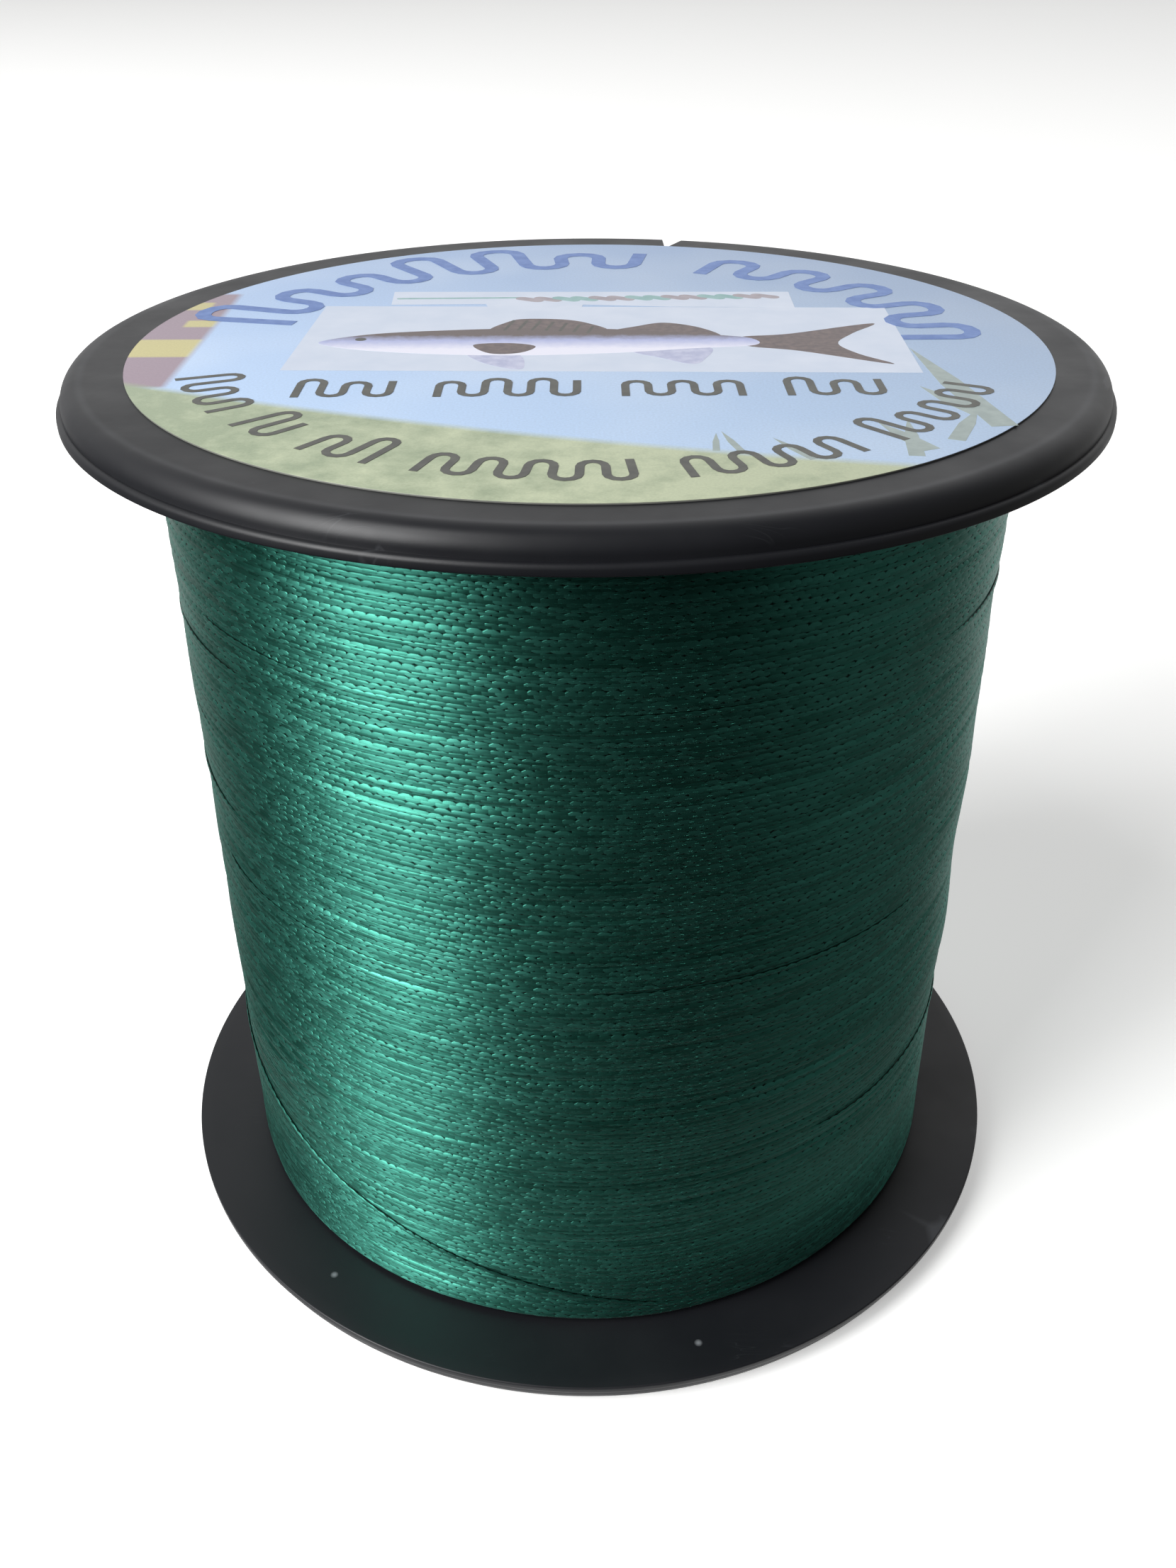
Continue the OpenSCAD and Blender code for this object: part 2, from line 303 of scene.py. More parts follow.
@dataclass(frozen=True)
class BraidedFibre:
    """Dyed polyethylene fibre, braided flat: two rows of picks, with painted shade in the gaps where their
    ends draw in.

    Light goes into the dyed fibres and comes back green, so part of the shine is tinted like a metal's. The
    fibres run along the line, so the shine is wide across it and narrow along it.
    """

    name: str = "braided_polyethylene_green"
    dye: str = "#2C6C5D"
    faded: str = "#479484"
    # Painted shade for the gaps between picks
    shade: str = "#06231B"
    ior: float = 1.54
    metallic: float = 0.92
    roughness: tuple[float, float] = (0.40, 0.50)
    anisotropy: float = 0.8
    # A pick is one carrier's fibres where they cross the outside of the braid
    pick_pitch: float = 0.86
    pick_depth: float = 0.010
    # Half the width of the braid where the picks are full, and how far it draws in between them
    half_width: float = 0.19
    draw_in: float = 0.095
    # Single fibres are about 0.012 mm: the streaks stand for bundles of four, so that they show
    fibre_width: float = 0.05
    sheen: float = 0.02

    def make(self) -> bpy.types.Material:
        """Builds the material. It reads the strand's UV map: millimetres along the strand and off its crest.

        Returns:
            The finished material.
        """
        tree = Tree(bpy.data.materials.new(self.name))
        laid = tree.add("UVMap", uv_map="lay")
        along = tree.add("SeparateXYZ", {0: laid}, out="X")
        across = along.node.outputs["Y"]
        half = tree.add("Math", {0: across, 1: 0.0}, operation="GREATER_THAN")
        off = tree.add("Math", {0: across}, operation="ABSOLUTE")
        # The lay of the braid tightens and loosens, so picks of neighbouring turns don't line up
        loose = tree.add("TexNoise", {"W": along, "Scale": 1 / 17, "Detail": 1.0}, noise_dimensions="1D")
        eased = tree.add("Math", {0: loose, 1: 5.0 * self.pick_pitch, 2: along}, operation="MULTIPLY_ADD")
        picks = tree.add("Math", {0: eased, 1: self.pick_pitch}, operation="DIVIDE")
        count = tree.add("Math", {0: half, 1: 0.5, 2: picks}, operation="MULTIPLY_ADD")
        number = tree.add("Math", {0: count}, operation="FLOOR")
        within = tree.add("Math", {0: count}, operation="FRACT")
        centred = tree.add("Math", {0: within, 1: 2.0, 2: -1.0}, operation="MULTIPLY_ADD")
        square = tree.add("Math", {0: centred, 1: centred}, operation="MULTIPLY")
        slope = tree.add("Math", {0: centred}, operation="ABSOLUTE")
        key = tree.add("CombineXYZ", {0: number, 1: half})
        chance = tree.add("TexWhiteNoise", {"Vector": key}, out="Value")
        # Gap: the braid is narrower between its picks, more so at some than at others
        pinch = tree.add("Math", {0: chance, 1: 0.9, 2: 0.55}, operation="MULTIPLY_ADD")
        pinched = tree.add("Math", {0: slope, 1: pinch}, operation="MULTIPLY")
        reach = tree.add("Math", {0: pinched, 1: -self.draw_in, 2: self.half_width}, operation="MULTIPLY_ADD")
        past = tree.add("Math", {0: off, 1: reach}, operation="SUBTRACT")
        gap_and_shade = tree.add("MapRange", {"Value": past, 1: -0.012, 2: 0.03, 3: 0.0, 4: 1.0})
        # Crown: each pick is a low dome, tallest half-way between the crest and the edge of the braid
        row = tree.add("Math", {0: off, 1: 2 / self.half_width, 2: -1.0}, operation="MULTIPLY_ADD")
        row_square = tree.add("Math", {0: row, 1: row}, operation="MULTIPLY")
        fall = tree.add("Math", {0: row_square, 1: 0.5, 2: square}, operation="MULTIPLY_ADD")
        crown = tree.add("Math", {0: 1.0, 1: fall}, operation="SUBTRACT")
        streaked = tree.add("CombineXYZ", {0: eased, 1: across})
        stretched = tree.add("Mapping", {
            "Vector": streaked, "Scale": (1 / self.pick_pitch, 1 / self.fibre_width, 1.0),
        })
        fibres = tree.add("TexNoise", {"Vector": stretched, "Scale": 1.0, "Detail": 2.0})
        # The dye takes unevenly along the line, over a few centimetres
        drift = tree.add("TexNoise", {"W": along, "Scale": 1 / 25, "Detail": 3.0}, noise_dimensions="1D")
        mixed = tree.add("Math", {0: chance, 1: 0.5, 2: drift}, operation="MULTIPLY_ADD")
        tone = tree.add("MapRange", {"Value": mixed, 1: 0.35, 2: 1.1})
        dyed = tree.add("Mix", {0: tone, 6: linear(self.dye), 7: linear(self.faded)}, out=2, data_type="RGBA")
        # painted shade: the gaps between picks take the shade colour
        colour = tree.add("Mix", {0: gap_and_shade, 6: dyed, 7: linear(self.shade)}, out=2, data_type="RGBA")
        gloss = tree.add("MapRange", {
            "Value": chance, 3: self.roughness[0], 4: self.roughness[1],
        })
        domed = tree.add("Math", {0: gap_and_shade, 1: -2.0, 2: crown}, operation="MULTIPLY_ADD")
        height = tree.add("Math", {0: fibres, 1: 0.25, 2: domed}, operation="MULTIPLY_ADD")
        bump = tree.add("Bump", {"Height": height, "Strength": 1.0, "Distance": self.pick_depth * MM})
        line = tree.add("Tangent", direction_type="UV_MAP", uv_map="lay")
        return tree.shade({
            "Base Color": colour, "Roughness": gloss, "IOR": self.ior, "Metallic": self.metallic,
            "Anisotropic": self.anisotropy, "Anisotropic Rotation": 0.25, "Tangent": line,
            "Normal": bump, "Sheen Weight": self.sheen, "Sheen Roughness": 0.4,
        })


@dataclass(frozen=True)
class WoundFibre:
    """The same fibre where turns of line are packed under others: dull furrows round the winding, with
    painted shade in their troughs.
    """

    name: str = "wound_polyethylene_green"
    dye: str = "#154B38"
    # Painted shade for the troughs between turns
    shade: str = "#051A13"
    ior: float = 1.54
    turn_pitch: float = 0.4
    turn_depth: float = 0.08

    def make(self) -> bpy.types.Material:
        """Builds the material.

        Returns:
            The finished material.
        """
        tree = Tree(bpy.data.materials.new(self.name))
        place = tree.add("TexCoord", out="Object")
        warp = tree.add("TexNoise", {"Vector": place, "Scale": 1 / (5 * MM), "Detail": 2.0})
        high = tree.add("SeparateXYZ", {0: place}, out="Z")
        swayed = tree.add("Math", {0: warp, 1: 0.3 * MM, 2: high}, operation="MULTIPLY_ADD")
        turns = tree.add("Math", {0: swayed, 1: math.tau / (self.turn_pitch * MM)}, operation="MULTIPLY")
        ridge = tree.add("Math", {0: turns}, operation="SINE")
        crest = tree.add("MapRange", {"Value": ridge, 1: -1.0, 2: 1.0})
        # painted shade: the troughs between turns are darkened, the crests keep the dye
        colour = tree.add("Mix", {
            0: crest, 6: linear(self.shade), 7: linear(self.dye),
        }, out=2, data_type="RGBA")
        bump = tree.add("Bump", {"Height": crest, "Strength": 1.0, "Distance": self.turn_depth * MM})
        return tree.shade({
            "Base Color": colour, "Roughness": 0.5, "IOR": self.ior, "Metallic": 0.3, "Normal": bump,
        })


@dataclass(frozen=True)
class MaskingTape:
    """Crepe masking tape: matt, tan, with fine cross wrinkles and painted shade in their folds."""

    name: str = "crepe_masking_tape"
    tan: str = "#CDBB8E"
    painted_fold_shade: str = "#A8946A"
    wrinkle: float = 0.5

    def make(self) -> bpy.types.Material:
        """Builds the material.

        Returns:
            The finished material.
        """
        tree = Tree(bpy.data.materials.new(self.name))
        place = tree.add("TexCoord", out="Object")
        laid = tree.add("Mapping", {
            "Vector": place,
            "Scale": (1 / (self.wrinkle * MM), 1 / (self.wrinkle * MM), 1 / (6 * MM)),
        })
        crepe = tree.add("TexNoise", {"Vector": laid, "Scale": 1.0, "Detail": 3.0})
        # painted shade: the low parts of the crepe are darkened
        colour = tree.add("Mix", {
            0: crepe, 6: linear(self.painted_fold_shade), 7: linear(self.tan),
        }, out=2, data_type="RGBA")
        bump = tree.add("Bump", {"Height": crepe, "Strength": 1.0, "Distance": 0.03 * MM})
        return tree.shade({"Base Color": colour, "Roughness": 0.8, "Normal": bump})


@dataclass(frozen=True)
class PrintedPaper:
    """Satin sticker paper with a printed picture: sky over a pale hill, and a patchwork at one side."""

    name: str = "printed_sticker_paper"
    sky_far: str = "#9DB6DA"
    sky_near: str = "#AFC6E2"
    haze: str = "#C8D6E8"
    hill: str = "#8E9A80"
    hill_dry: str = "#B4BC9F"
    mauve: str = "#907F8B"
    yellow: str = "#B8B07C"
    roughness: float = 0.42
    # The hill's top edge is this parabola in millimetres: height at the middle, slope and curvature
    hill_line: tuple[float, float, float] = (-21.3, -0.30, 0.003)
    patch_edge: float = -26.2
    patch_rows: tuple[float, float] = (-11.0, 13.0)
    # Yellow patches: left, right, low and high edge of each
    patches: tuple[tuple[float, float, float, float], ...] = (
        (-31.0, -26.2, -4.2, 0.1), (-28.4, -26.2, 3.4, 5.2), (-29.5, -27.6, 8.2, 10.4),
    )
    # Painted shade for the paper's cut side
    edge_shade: str = "#6E6F6A"
    print_grain: float = 0.16
    fibre_depth: float = 0.003

    def make(self) -> bpy.types.Material:
        """Builds the material.

        Returns:
            The finished material.
        """
        tree = Tree(bpy.data.materials.new(self.name))
        place = tree.add("TexCoord", out="Object")
        sized = tree.add("Mapping", {"Vector": place, "Scale": (1 / MM, 1 / MM, 1 / MM)})
        x = tree.add("SeparateXYZ", {0: sized}, out="X")
        y = x.node.outputs["Y"]
        upward = tree.add("MapRange", {"Value": y, 1: -28.0, 2: 30.0})
        colour = tree.add("Mix", {
            0: upward, 6: linear(self.sky_near), 7: linear(self.sky_far),
        }, out=2, data_type="RGBA")
        clouds = tree.add("TexNoise", {"Vector": sized, "Scale": 1 / 14, "Detail": 2.0})
        veil = tree.add("MapRange", {"Value": clouds, 1: 0.45, 2: 0.75, 3: 0.0, 4: 0.35})
        colour = tree.add("Mix", {0: veil, 6: colour, 7: linear(self.haze)}, out=2, data_type="RGBA")
        # Patchwork: yellow patches on a mauve strip at the left
        yellow = 0.0
        for west, east, south, north in self.patches:
            inside = 1.0
            for value, low, high in ((x, west, east), (y, south, north)):
                for start, end in ((low - 0.15, low + 0.15), (high + 0.15, high - 0.15)):
                    step = tree.add("MapRange", {"Value": value, 1: start, 2: end})
                    inside = tree.add("Math", {0: inside, 1: step}, operation="MULTIPLY")
            yellow = tree.add("Math", {0: yellow, 1: inside}, operation="MAXIMUM")
        patch = tree.add("Mix", {
            0: yellow, 6: linear(self.mauve), 7: linear(self.yellow),
        }, out=2, data_type="RGBA")
        left = tree.add("MapRange", {"Value": x, 1: self.patch_edge + 0.3, 2: self.patch_edge - 0.3})
        above = tree.add("MapRange", {"Value": y, 1: self.patch_rows[0] - 0.3, 2: self.patch_rows[0] + 0.3})
        below = tree.add("MapRange", {"Value": y, 1: self.patch_rows[1] + 0.3, 2: self.patch_rows[1] - 0.3})
        band = tree.add("Math", {0: above, 1: below}, operation="MULTIPLY")
        patched = tree.add("Math", {0: left, 1: band}, operation="MULTIPLY")
        colour = tree.add("Mix", {0: patched, 6: colour, 7: patch}, out=2, data_type="RGBA")
        # Hill: under the parabola, drier to the right
        middle, slope, bend = self.hill_line
        curved = tree.add("Math", {0: x, 1: bend, 2: slope}, operation="MULTIPLY_ADD")
        top = tree.add("Math", {0: curved, 1: x, 2: middle}, operation="MULTIPLY_ADD")
        over = tree.add("Math", {0: top, 1: y}, operation="SUBTRACT")
        ground = tree.add("MapRange", {"Value": over, 1: -0.5, 2: 0.5})
        tuft = tree.add("TexNoise", {"Vector": sized, "Scale": 1 / 2.2, "Detail": 4.0, "Roughness": 0.65})
        westward = tree.add("Math", {0: x, 1: 0.011, 2: tuft}, operation="MULTIPLY_ADD")
        dry = tree.add("MapRange", {"Value": westward, 1: 0.22, 2: 0.62})
        grass = tree.add("Mix", {
            0: dry, 6: linear(self.hill), 7: linear(self.hill_dry),
        }, out=2, data_type="RGBA")
        colour = tree.add("Mix", {0: ground, 6: colour, 7: grass}, out=2, data_type="RGBA")
        # Ink-jet grain, drawn at twice its real size
        grain = tree.add("TexNoise", {"Vector": sized, "Scale": 1 / self.print_grain, "Detail": 2.0})
        speck = tree.add("MapRange", {"Value": grain, 1: 0.3, 2: 0.7, 3: 0.93, 4: 1.05})
        printed = tree.add("VectorMath", {0: colour, 1: speck}, operation="MULTIPLY")
        # The cut side of the paper is painted dark grey: painted shade
        z = x.node.outputs["Z"]
        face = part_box("paper_label")[1].z / MM
        edge = tree.add("MapRange", {"Value": z, 1: face - 0.012, 2: face - 0.03})
        printed = tree.add("Mix", {0: edge, 6: printed, 7: linear(self.edge_shade)}, out=2, data_type="RGBA")
        fibres = tree.add("TexNoise", {"Vector": sized, "Scale": 1 / 0.3, "Detail": 4.0})
        bump = tree.add("Bump", {"Height": fibres, "Strength": 1.0, "Distance": self.fibre_depth * MM})
        return tree.shade({
            "Base Color": printed, "Roughness": self.roughness, "IOR": 1.5, "Normal": bump,
        })


@dataclass(frozen=True)
class Ink:
    """Ink-jet ink on the sticker paper: two tones that run into each other, a little uneven."""

    name: str
    deep: str
    thin: str
    blotch: float = 0.8
    roughness: float = 0.42

    def make(self) -> bpy.types.Material:
        """Builds the material.

        Returns:
            The finished material.
        """
        tree = Tree(bpy.data.materials.new(self.name))
        place = tree.add("TexCoord", out="Object")
        uneven = tree.add("TexNoise", {"Vector": place, "Scale": 1 / (self.blotch * MM), "Detail": 4.0})
        share = tree.add("MapRange", {"Value": uneven, 1: 0.35, 2: 0.7})
        colour = tree.add("Mix", {
            0: share, 6: linear(self.deep), 7: linear(self.thin),
        }, out=2, data_type="RGBA")
        bump = tree.add("Bump", {"Height": uneven, "Strength": 1.0, "Distance": 0.002 * MM})
        return tree.shade({"Base Color": colour, "Roughness": self.roughness, "IOR": 1.5, "Normal": bump})


@dataclass(frozen=True)
class FishInk:
    """Printed fish skin: a brown back that fades through silvery blue into a pale belly."""

    name: str = "printed_fish_skin"
    back: str = "#5C504F"
    flank: str = "#A6AED6"
    belly: str = "#E3E3F1"
    back_line: float = 0.9
    flank_line: float = -0.5
    belly_line: float = -2.6

    def make(self) -> bpy.types.Material:
        """Builds the material. Heights across the fish are in millimetres from its middle line.

        Returns:
            The finished material.
        """
        tree = Tree(bpy.data.materials.new(self.name))
        place = tree.add("TexCoord", out="Object")
        sized = tree.add("Mapping", {"Vector": place, "Scale": (1 / MM, 1 / MM, 1 / MM)})
        y = tree.add("SeparateXYZ", {0: sized}, out="Y")
        mottle = tree.add("TexNoise", {"Vector": sized, "Scale": 1 / 0.9, "Detail": 4.0, "Roughness": 0.7})
        blurred = tree.add("Math", {0: mottle, 1: 1.4, 2: y}, operation="MULTIPLY_ADD")
        level = tree.add("Math", {0: blurred, 1: 0.7}, operation="SUBTRACT")
        low = tree.add("MapRange", {"Value": level, 1: self.belly_line, 2: self.flank_line})
        colour = tree.add("Mix", {
            0: low, 6: linear(self.belly), 7: linear(self.flank),
        }, out=2, data_type="RGBA")
        high = tree.add("MapRange", {"Value": level, 1: self.flank_line, 2: self.back_line})
        colour = tree.add("Mix", {0: high, 6: colour, 7: linear(self.back)}, out=2, data_type="RGBA")
        return tree.shade({"Base Color": colour, "Roughness": 0.42, "IOR": 1.5})


@dataclass(frozen=True)
class LightTable:
    """Opal acrylic, lit from behind, as a photographer's table and cove are."""

    name: str = "opal_acrylic_table"
    white: str = "#F4F4F3"
    glow: float = 0.42

    def make(self) -> bpy.types.Material:
        """Builds the material.

        Returns:
            The finished material.
        """
        tree = Tree(bpy.data.materials.new(self.name))
        return tree.shade({
            "Base Color": linear(self.white), "Roughness": 0.9, "Specular IOR Level": 0.2,
            "Emission Color": linear(self.white), "Emission Strength": self.glow,
        })


# ---------------------------------------------------------------- mesh tools


def arc(centre: Point, radius: float, start: float, end: float, steps: int) -> list[Point]:
    """Points on an arc, both ends included.

    Args:
        centre: Middle of the arc.
        radius: Its radius.
        start: Angle of the first point, in degrees.
        end: Angle of the last point, in degrees.
        steps: Number of straight pieces.

    Returns:
        The points, in order.
    """
    angles = [math.radians(start + (end - start) * i / steps) for i in range(steps + 1)]
    return [(centre[0] + radius * math.cos(a), centre[1] + radius * math.sin(a)) for a in angles]


def polygon(points: Sequence[Point], z: float = 0.0) -> BMesh:
    """A flat face with this outline.

    Args:
        points: The outline, in millimetres.
        z: Height of the face, in millimetres.

    Returns:
        A bmesh with the one face, which looks up.
    """
    bm = bmesh.new()
    face = bm.faces.new([bm.verts.new((x * MM, y * MM, z * MM)) for x, y in points])
    face.normal_update()
    if face.normal.z < 0:
        face.normal_flip()
    return bm


def slab(points: Sequence[Point], z: float, height: float) -> BMesh:
    """A closed plate with this outline.

    Args:
        points: The outline, in millimetres.
        z: Height of its lower face, in millimetres.
        height: Its thickness, in millimetres.

    Returns:
        The plate.
    """
    bm = polygon(points, z)
    raised = bmesh.ops.extrude_face_region(bm, geom=bm.faces[:], use_keep_orig=True)["geom"]
    corners = [e for e in raised if isinstance(e, bmesh.types.BMVert)]
    bmesh.ops.translate(bm, verts=corners, vec=(0, 0, height * MM))
    bmesh.ops.recalc_face_normals(bm, faces=bm.faces[:])
    return bm


def lathe(outline: Sequence[Point], steps: int) -> BMesh:
    """Turns a closed outline round the Z axis.

    Args:
        outline: Radius and height of each point, in millimetres.
        steps: Number of flats round the axis.

    Returns:
        The closed ring.
    """
    bm = bmesh.new()
    corners = [bm.verts.new((r * MM, 0, z * MM)) for r, z in outline]
    edges = [bm.edges.new(pair) for pair in zip(corners, corners[1:] + corners[:1])]
    bmesh.ops.spin(
        bm, geom=corners + edges, cent=(0, 0, 0), axis=(0, 0, 1), angle=math.tau, steps=steps, use_merge=True,
    )
    bmesh.ops.remove_doubles(bm, verts=bm.verts[:], dist=0.0005 * MM)
    bmesh.ops.recalc_face_normals(bm, faces=bm.faces[:])
    return bm


def combine(body: BMesh, tool: BMesh, how: Join) -> BMesh:
    """Cuts one closed mesh with another, or joins the two into one skin.

    Args:
        body: The mesh that is changed. It is used up.
        tool: The mesh that cuts or is added. It is used up.
        how: Whether to cut or to add.

    Returns:
        The combined mesh.
    """
    pair = []
    for bm in (body, tool):
        mesh = bpy.data.meshes.new("combine")
        bm.to_mesh(mesh)
        bm.free()
        pair.append(bpy.data.objects.new("combine", mesh))
        bpy.context.scene.collection.objects.link(pair[-1])
    modifier = pair[0].modifiers.new("combine", "BOOLEAN")
    modifier.operation = how.value
    modifier.solver = "EXACT"
    modifier.object = pair[1]
    made = bmesh.new()
    made.from_object(pair[0], bpy.context.evaluated_depsgraph_get())
    for part in pair:
        bpy.data.objects.remove(part)
    return made


def finish_piece(
    bm: BMesh, name: str, finishes: Sequence[bpy.types.Material], slot: Slot, crease: float = 32.0,
) -> bpy.types.Object:
    """Makes a bmesh into a smooth-shaded piece that rides on the frame.

    Args:
        bm: The mesh, in metres and in the row frame. It is used up.
        name: The piece's name.
        finishes: Its materials, in the order of the faces' material numbers.
        slot: The record's slot for the piece. Not used.
        crease: Edges sharper than this many degrees stay sharp.

    Returns:
        The piece.
    """
    for face in bm.faces:
        face.smooth = True
    for edge in bm.edges:
        edge.smooth = edge.calc_face_angle(0.0) < math.radians(crease)
    mesh = bpy.data.meshes.new(name)
    bm.to_mesh(mesh)
    bm.free()
    for finish in finishes:
        mesh.materials.append(finish)
    piece = bpy.data.objects.new(name, mesh)
    bpy.context.scene.collection.objects.link(piece)
    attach(piece, "root")
    LOG.info("%s: %d faces", name, len(mesh.polygons))
    return piece


# ---------------------------------------------------------------- flanges


@dataclass
class Flange:
    """One moulded flange, drawn lying on its outer face, and turned over if it is the upper one."""

    node: str
    finish: bpy.types.Material
    turned_over: bool
    notched: bool
    thickness: float = 2.2
    lip_height: float = 0.7
    lip_out: float = 0.35
    shoulder: float = 1.2
    ring_height: float = 4.0
    ring_outer: float = 25.5
    ring_wall: float = 1.6
    boss_inner: float = 7.5
    rib_count: int = 6
    rib_height: float = 3.0
    rib_thickness: float = 1.2
    key_width: float = 4.0
    key_height: float = 2.5
    key_reach: float = 27.1
    notch_angle: float = 77.0
    notch_depth: float = 4.5
    notch_width: float = 2.4
    notch_tip: float = 0.15
    notch_lip: float = 0.7
    steps: int = 216
    radius: float = field(init=False)
    total: float = field(init=False)

    def __post_init__(self) -> None:
        """Takes the outer radius and the spool's height from the frame."""
        self.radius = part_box(self.node)[1].x / MM
        self.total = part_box("upper_flange")[1].z / MM

    def outline(self) -> list[Point]:
        """Half of the flange's section, with its outer face at height 0.

        Returns:
            Radius and height of each point, in millimetres.
        """
        wall = self.radius - self.lip_out
        lip_base = self.thickness - self.lip_height
        round_base = 0.30
        round_top = 0.12
        ease = 0.12
        boss_outer = self.boss_inner + self.ring_wall
        ring_inner = self.ring_outer - self.ring_wall
        top = self.thickness + self.ring_height
        return [
            (self.boss_inner, ease),
            (self.boss_inner + ease, 0.0),
            (self.ring_outer, 0.0),
            (wall - self.shoulder - 0.5, 0.0),
            *arc((wall - self.shoulder, self.shoulder), self.shoulder, -90, 0, 12),
            (wall, lip_base),
            *arc((self.radius - round_base, lip_base + round_base), round_base, -90, 0, 6),
            *arc((self.radius - round_top, self.thickness - round_top), round_top, 0, 90, 4),
            (wall - 0.8, self.thickness),
            (self.ring_outer, self.thickness),
            *arc((self.ring_outer - ease, top - ease), ease, 0, 90, 2),
            *arc((ring_inner + ease, top - ease), ease, 90, 180, 2),
            (ring_inner, self.thickness),
            (boss_outer, self.thickness),
            *arc((boss_outer - ease, top - ease), ease, 0, 90, 2),
            (self.boss_inner, top),
        ]

    def block(self, inner: float, outer: float, width: float, height: float, angle: float) -> BMesh:
        """A radial block that stands on the inner face, sunk a little into it.

        Args:
            inner: Radius where it starts.
            outer: Radius where it ends.
            width: Its width across the radius.
            height: Its height over the inner face.
            angle: Its place round the axis, in degrees.

        Returns:
            The block.
        """
        sunk = 0.2
        bm = bmesh.new()
        bmesh.ops.create_cube(bm, size=1.0)
        bmesh.ops.scale(bm, vec=((outer - inner) * MM, width * MM, (height + sunk) * MM), verts=bm.verts[:])
        centre = ((inner + outer) / 2 * MM, 0, (self.thickness + (height - sunk) / 2) * MM)
        bmesh.ops.translate(bm, vec=centre, verts=bm.verts[:])
        turn = Matrix.Rotation(math.radians(angle), 3, "Z")
        bmesh.ops.rotate(bm, cent=(0, 0, 0), matrix=turn, verts=bm.verts[:])
        return bm

    def notch(self) -> BMesh:
        """The cutter for the line notch: a narrow V whose two lips are rounded.

        Returns:
            A closed prism through the flange, in the place of the notch.
        """
        run = 1.0
        tip = self.radius - self.notch_depth
        flank = math.atan((self.notch_width - self.notch_tip) / 2 / self.notch_depth)
        lip_y = self.radius - self.notch_lip
        flank_x = self.notch_tip / 2 + (lip_y - tip) * math.tan(flank)
        lip_x = flank_x + self.notch_lip / math.cos(flank)
        half = [
            (self.notch_tip / 2, tip),
            *arc((lip_x, lip_y), self.notch_lip, 180 - math.degrees(flank), 90, 8),
            (lip_x, self.radius + run),
        ]
        outline = half + [(-x, y) for x, y in reversed(half)]
        bm = slab(outline, -run, self.thickness + 2 * run)
        turn = Matrix.Rotation(math.radians(self.notch_angle - 90), 3, "Z")
        bmesh.ops.rotate(bm, cent=(0, 0, 0), matrix=turn, verts=bm.verts[:])
        return bm

    def build(self) -> bpy.types.Object:
        """Builds the flange and puts it in its place.

        Returns:
            The finished piece.
        """
        bm = lathe(self.outline(), self.steps)
        boss_outer = self.boss_inner + self.ring_wall
        for i in range(self.rib_count):
            angle = i * 360 / self.rib_count
            rib = self.block(
                boss_outer - 0.5, self.ring_outer - self.ring_wall + 0.5,
                self.rib_thickness, self.rib_height, angle,
            )
            bm = combine(bm, rib, Join.ADD)
            key = self.block(
                self.ring_outer - 0.5, self.key_reach,
                self.key_width, self.key_height, angle + 180 / self.rib_count,
            )
            bm = combine(bm, key, Join.ADD)
        if self.turned_over:
            bmesh.ops.scale(bm, vec=(1, 1, -1), verts=bm.verts[:])
            bmesh.ops.translate(bm, vec=(0, 0, self.total * MM), verts=bm.verts[:])
            bmesh.ops.recalc_face_normals(bm, faces=bm.faces[:])
        if self.notched:
            cutter = self.notch()
            lift = (self.total - self.thickness) * MM
            bmesh.ops.translate(cutter, vec=(0, 0, lift), verts=cutter.verts[:])
            bm = combine(bm, cutter, Join.CUT)
        piece = finish_piece(bm, self.node + "_moulding", [self.finish], Slot.FLANGE)
        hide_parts(self.node)
        return piece


# ---------------------------------------------------------------- line


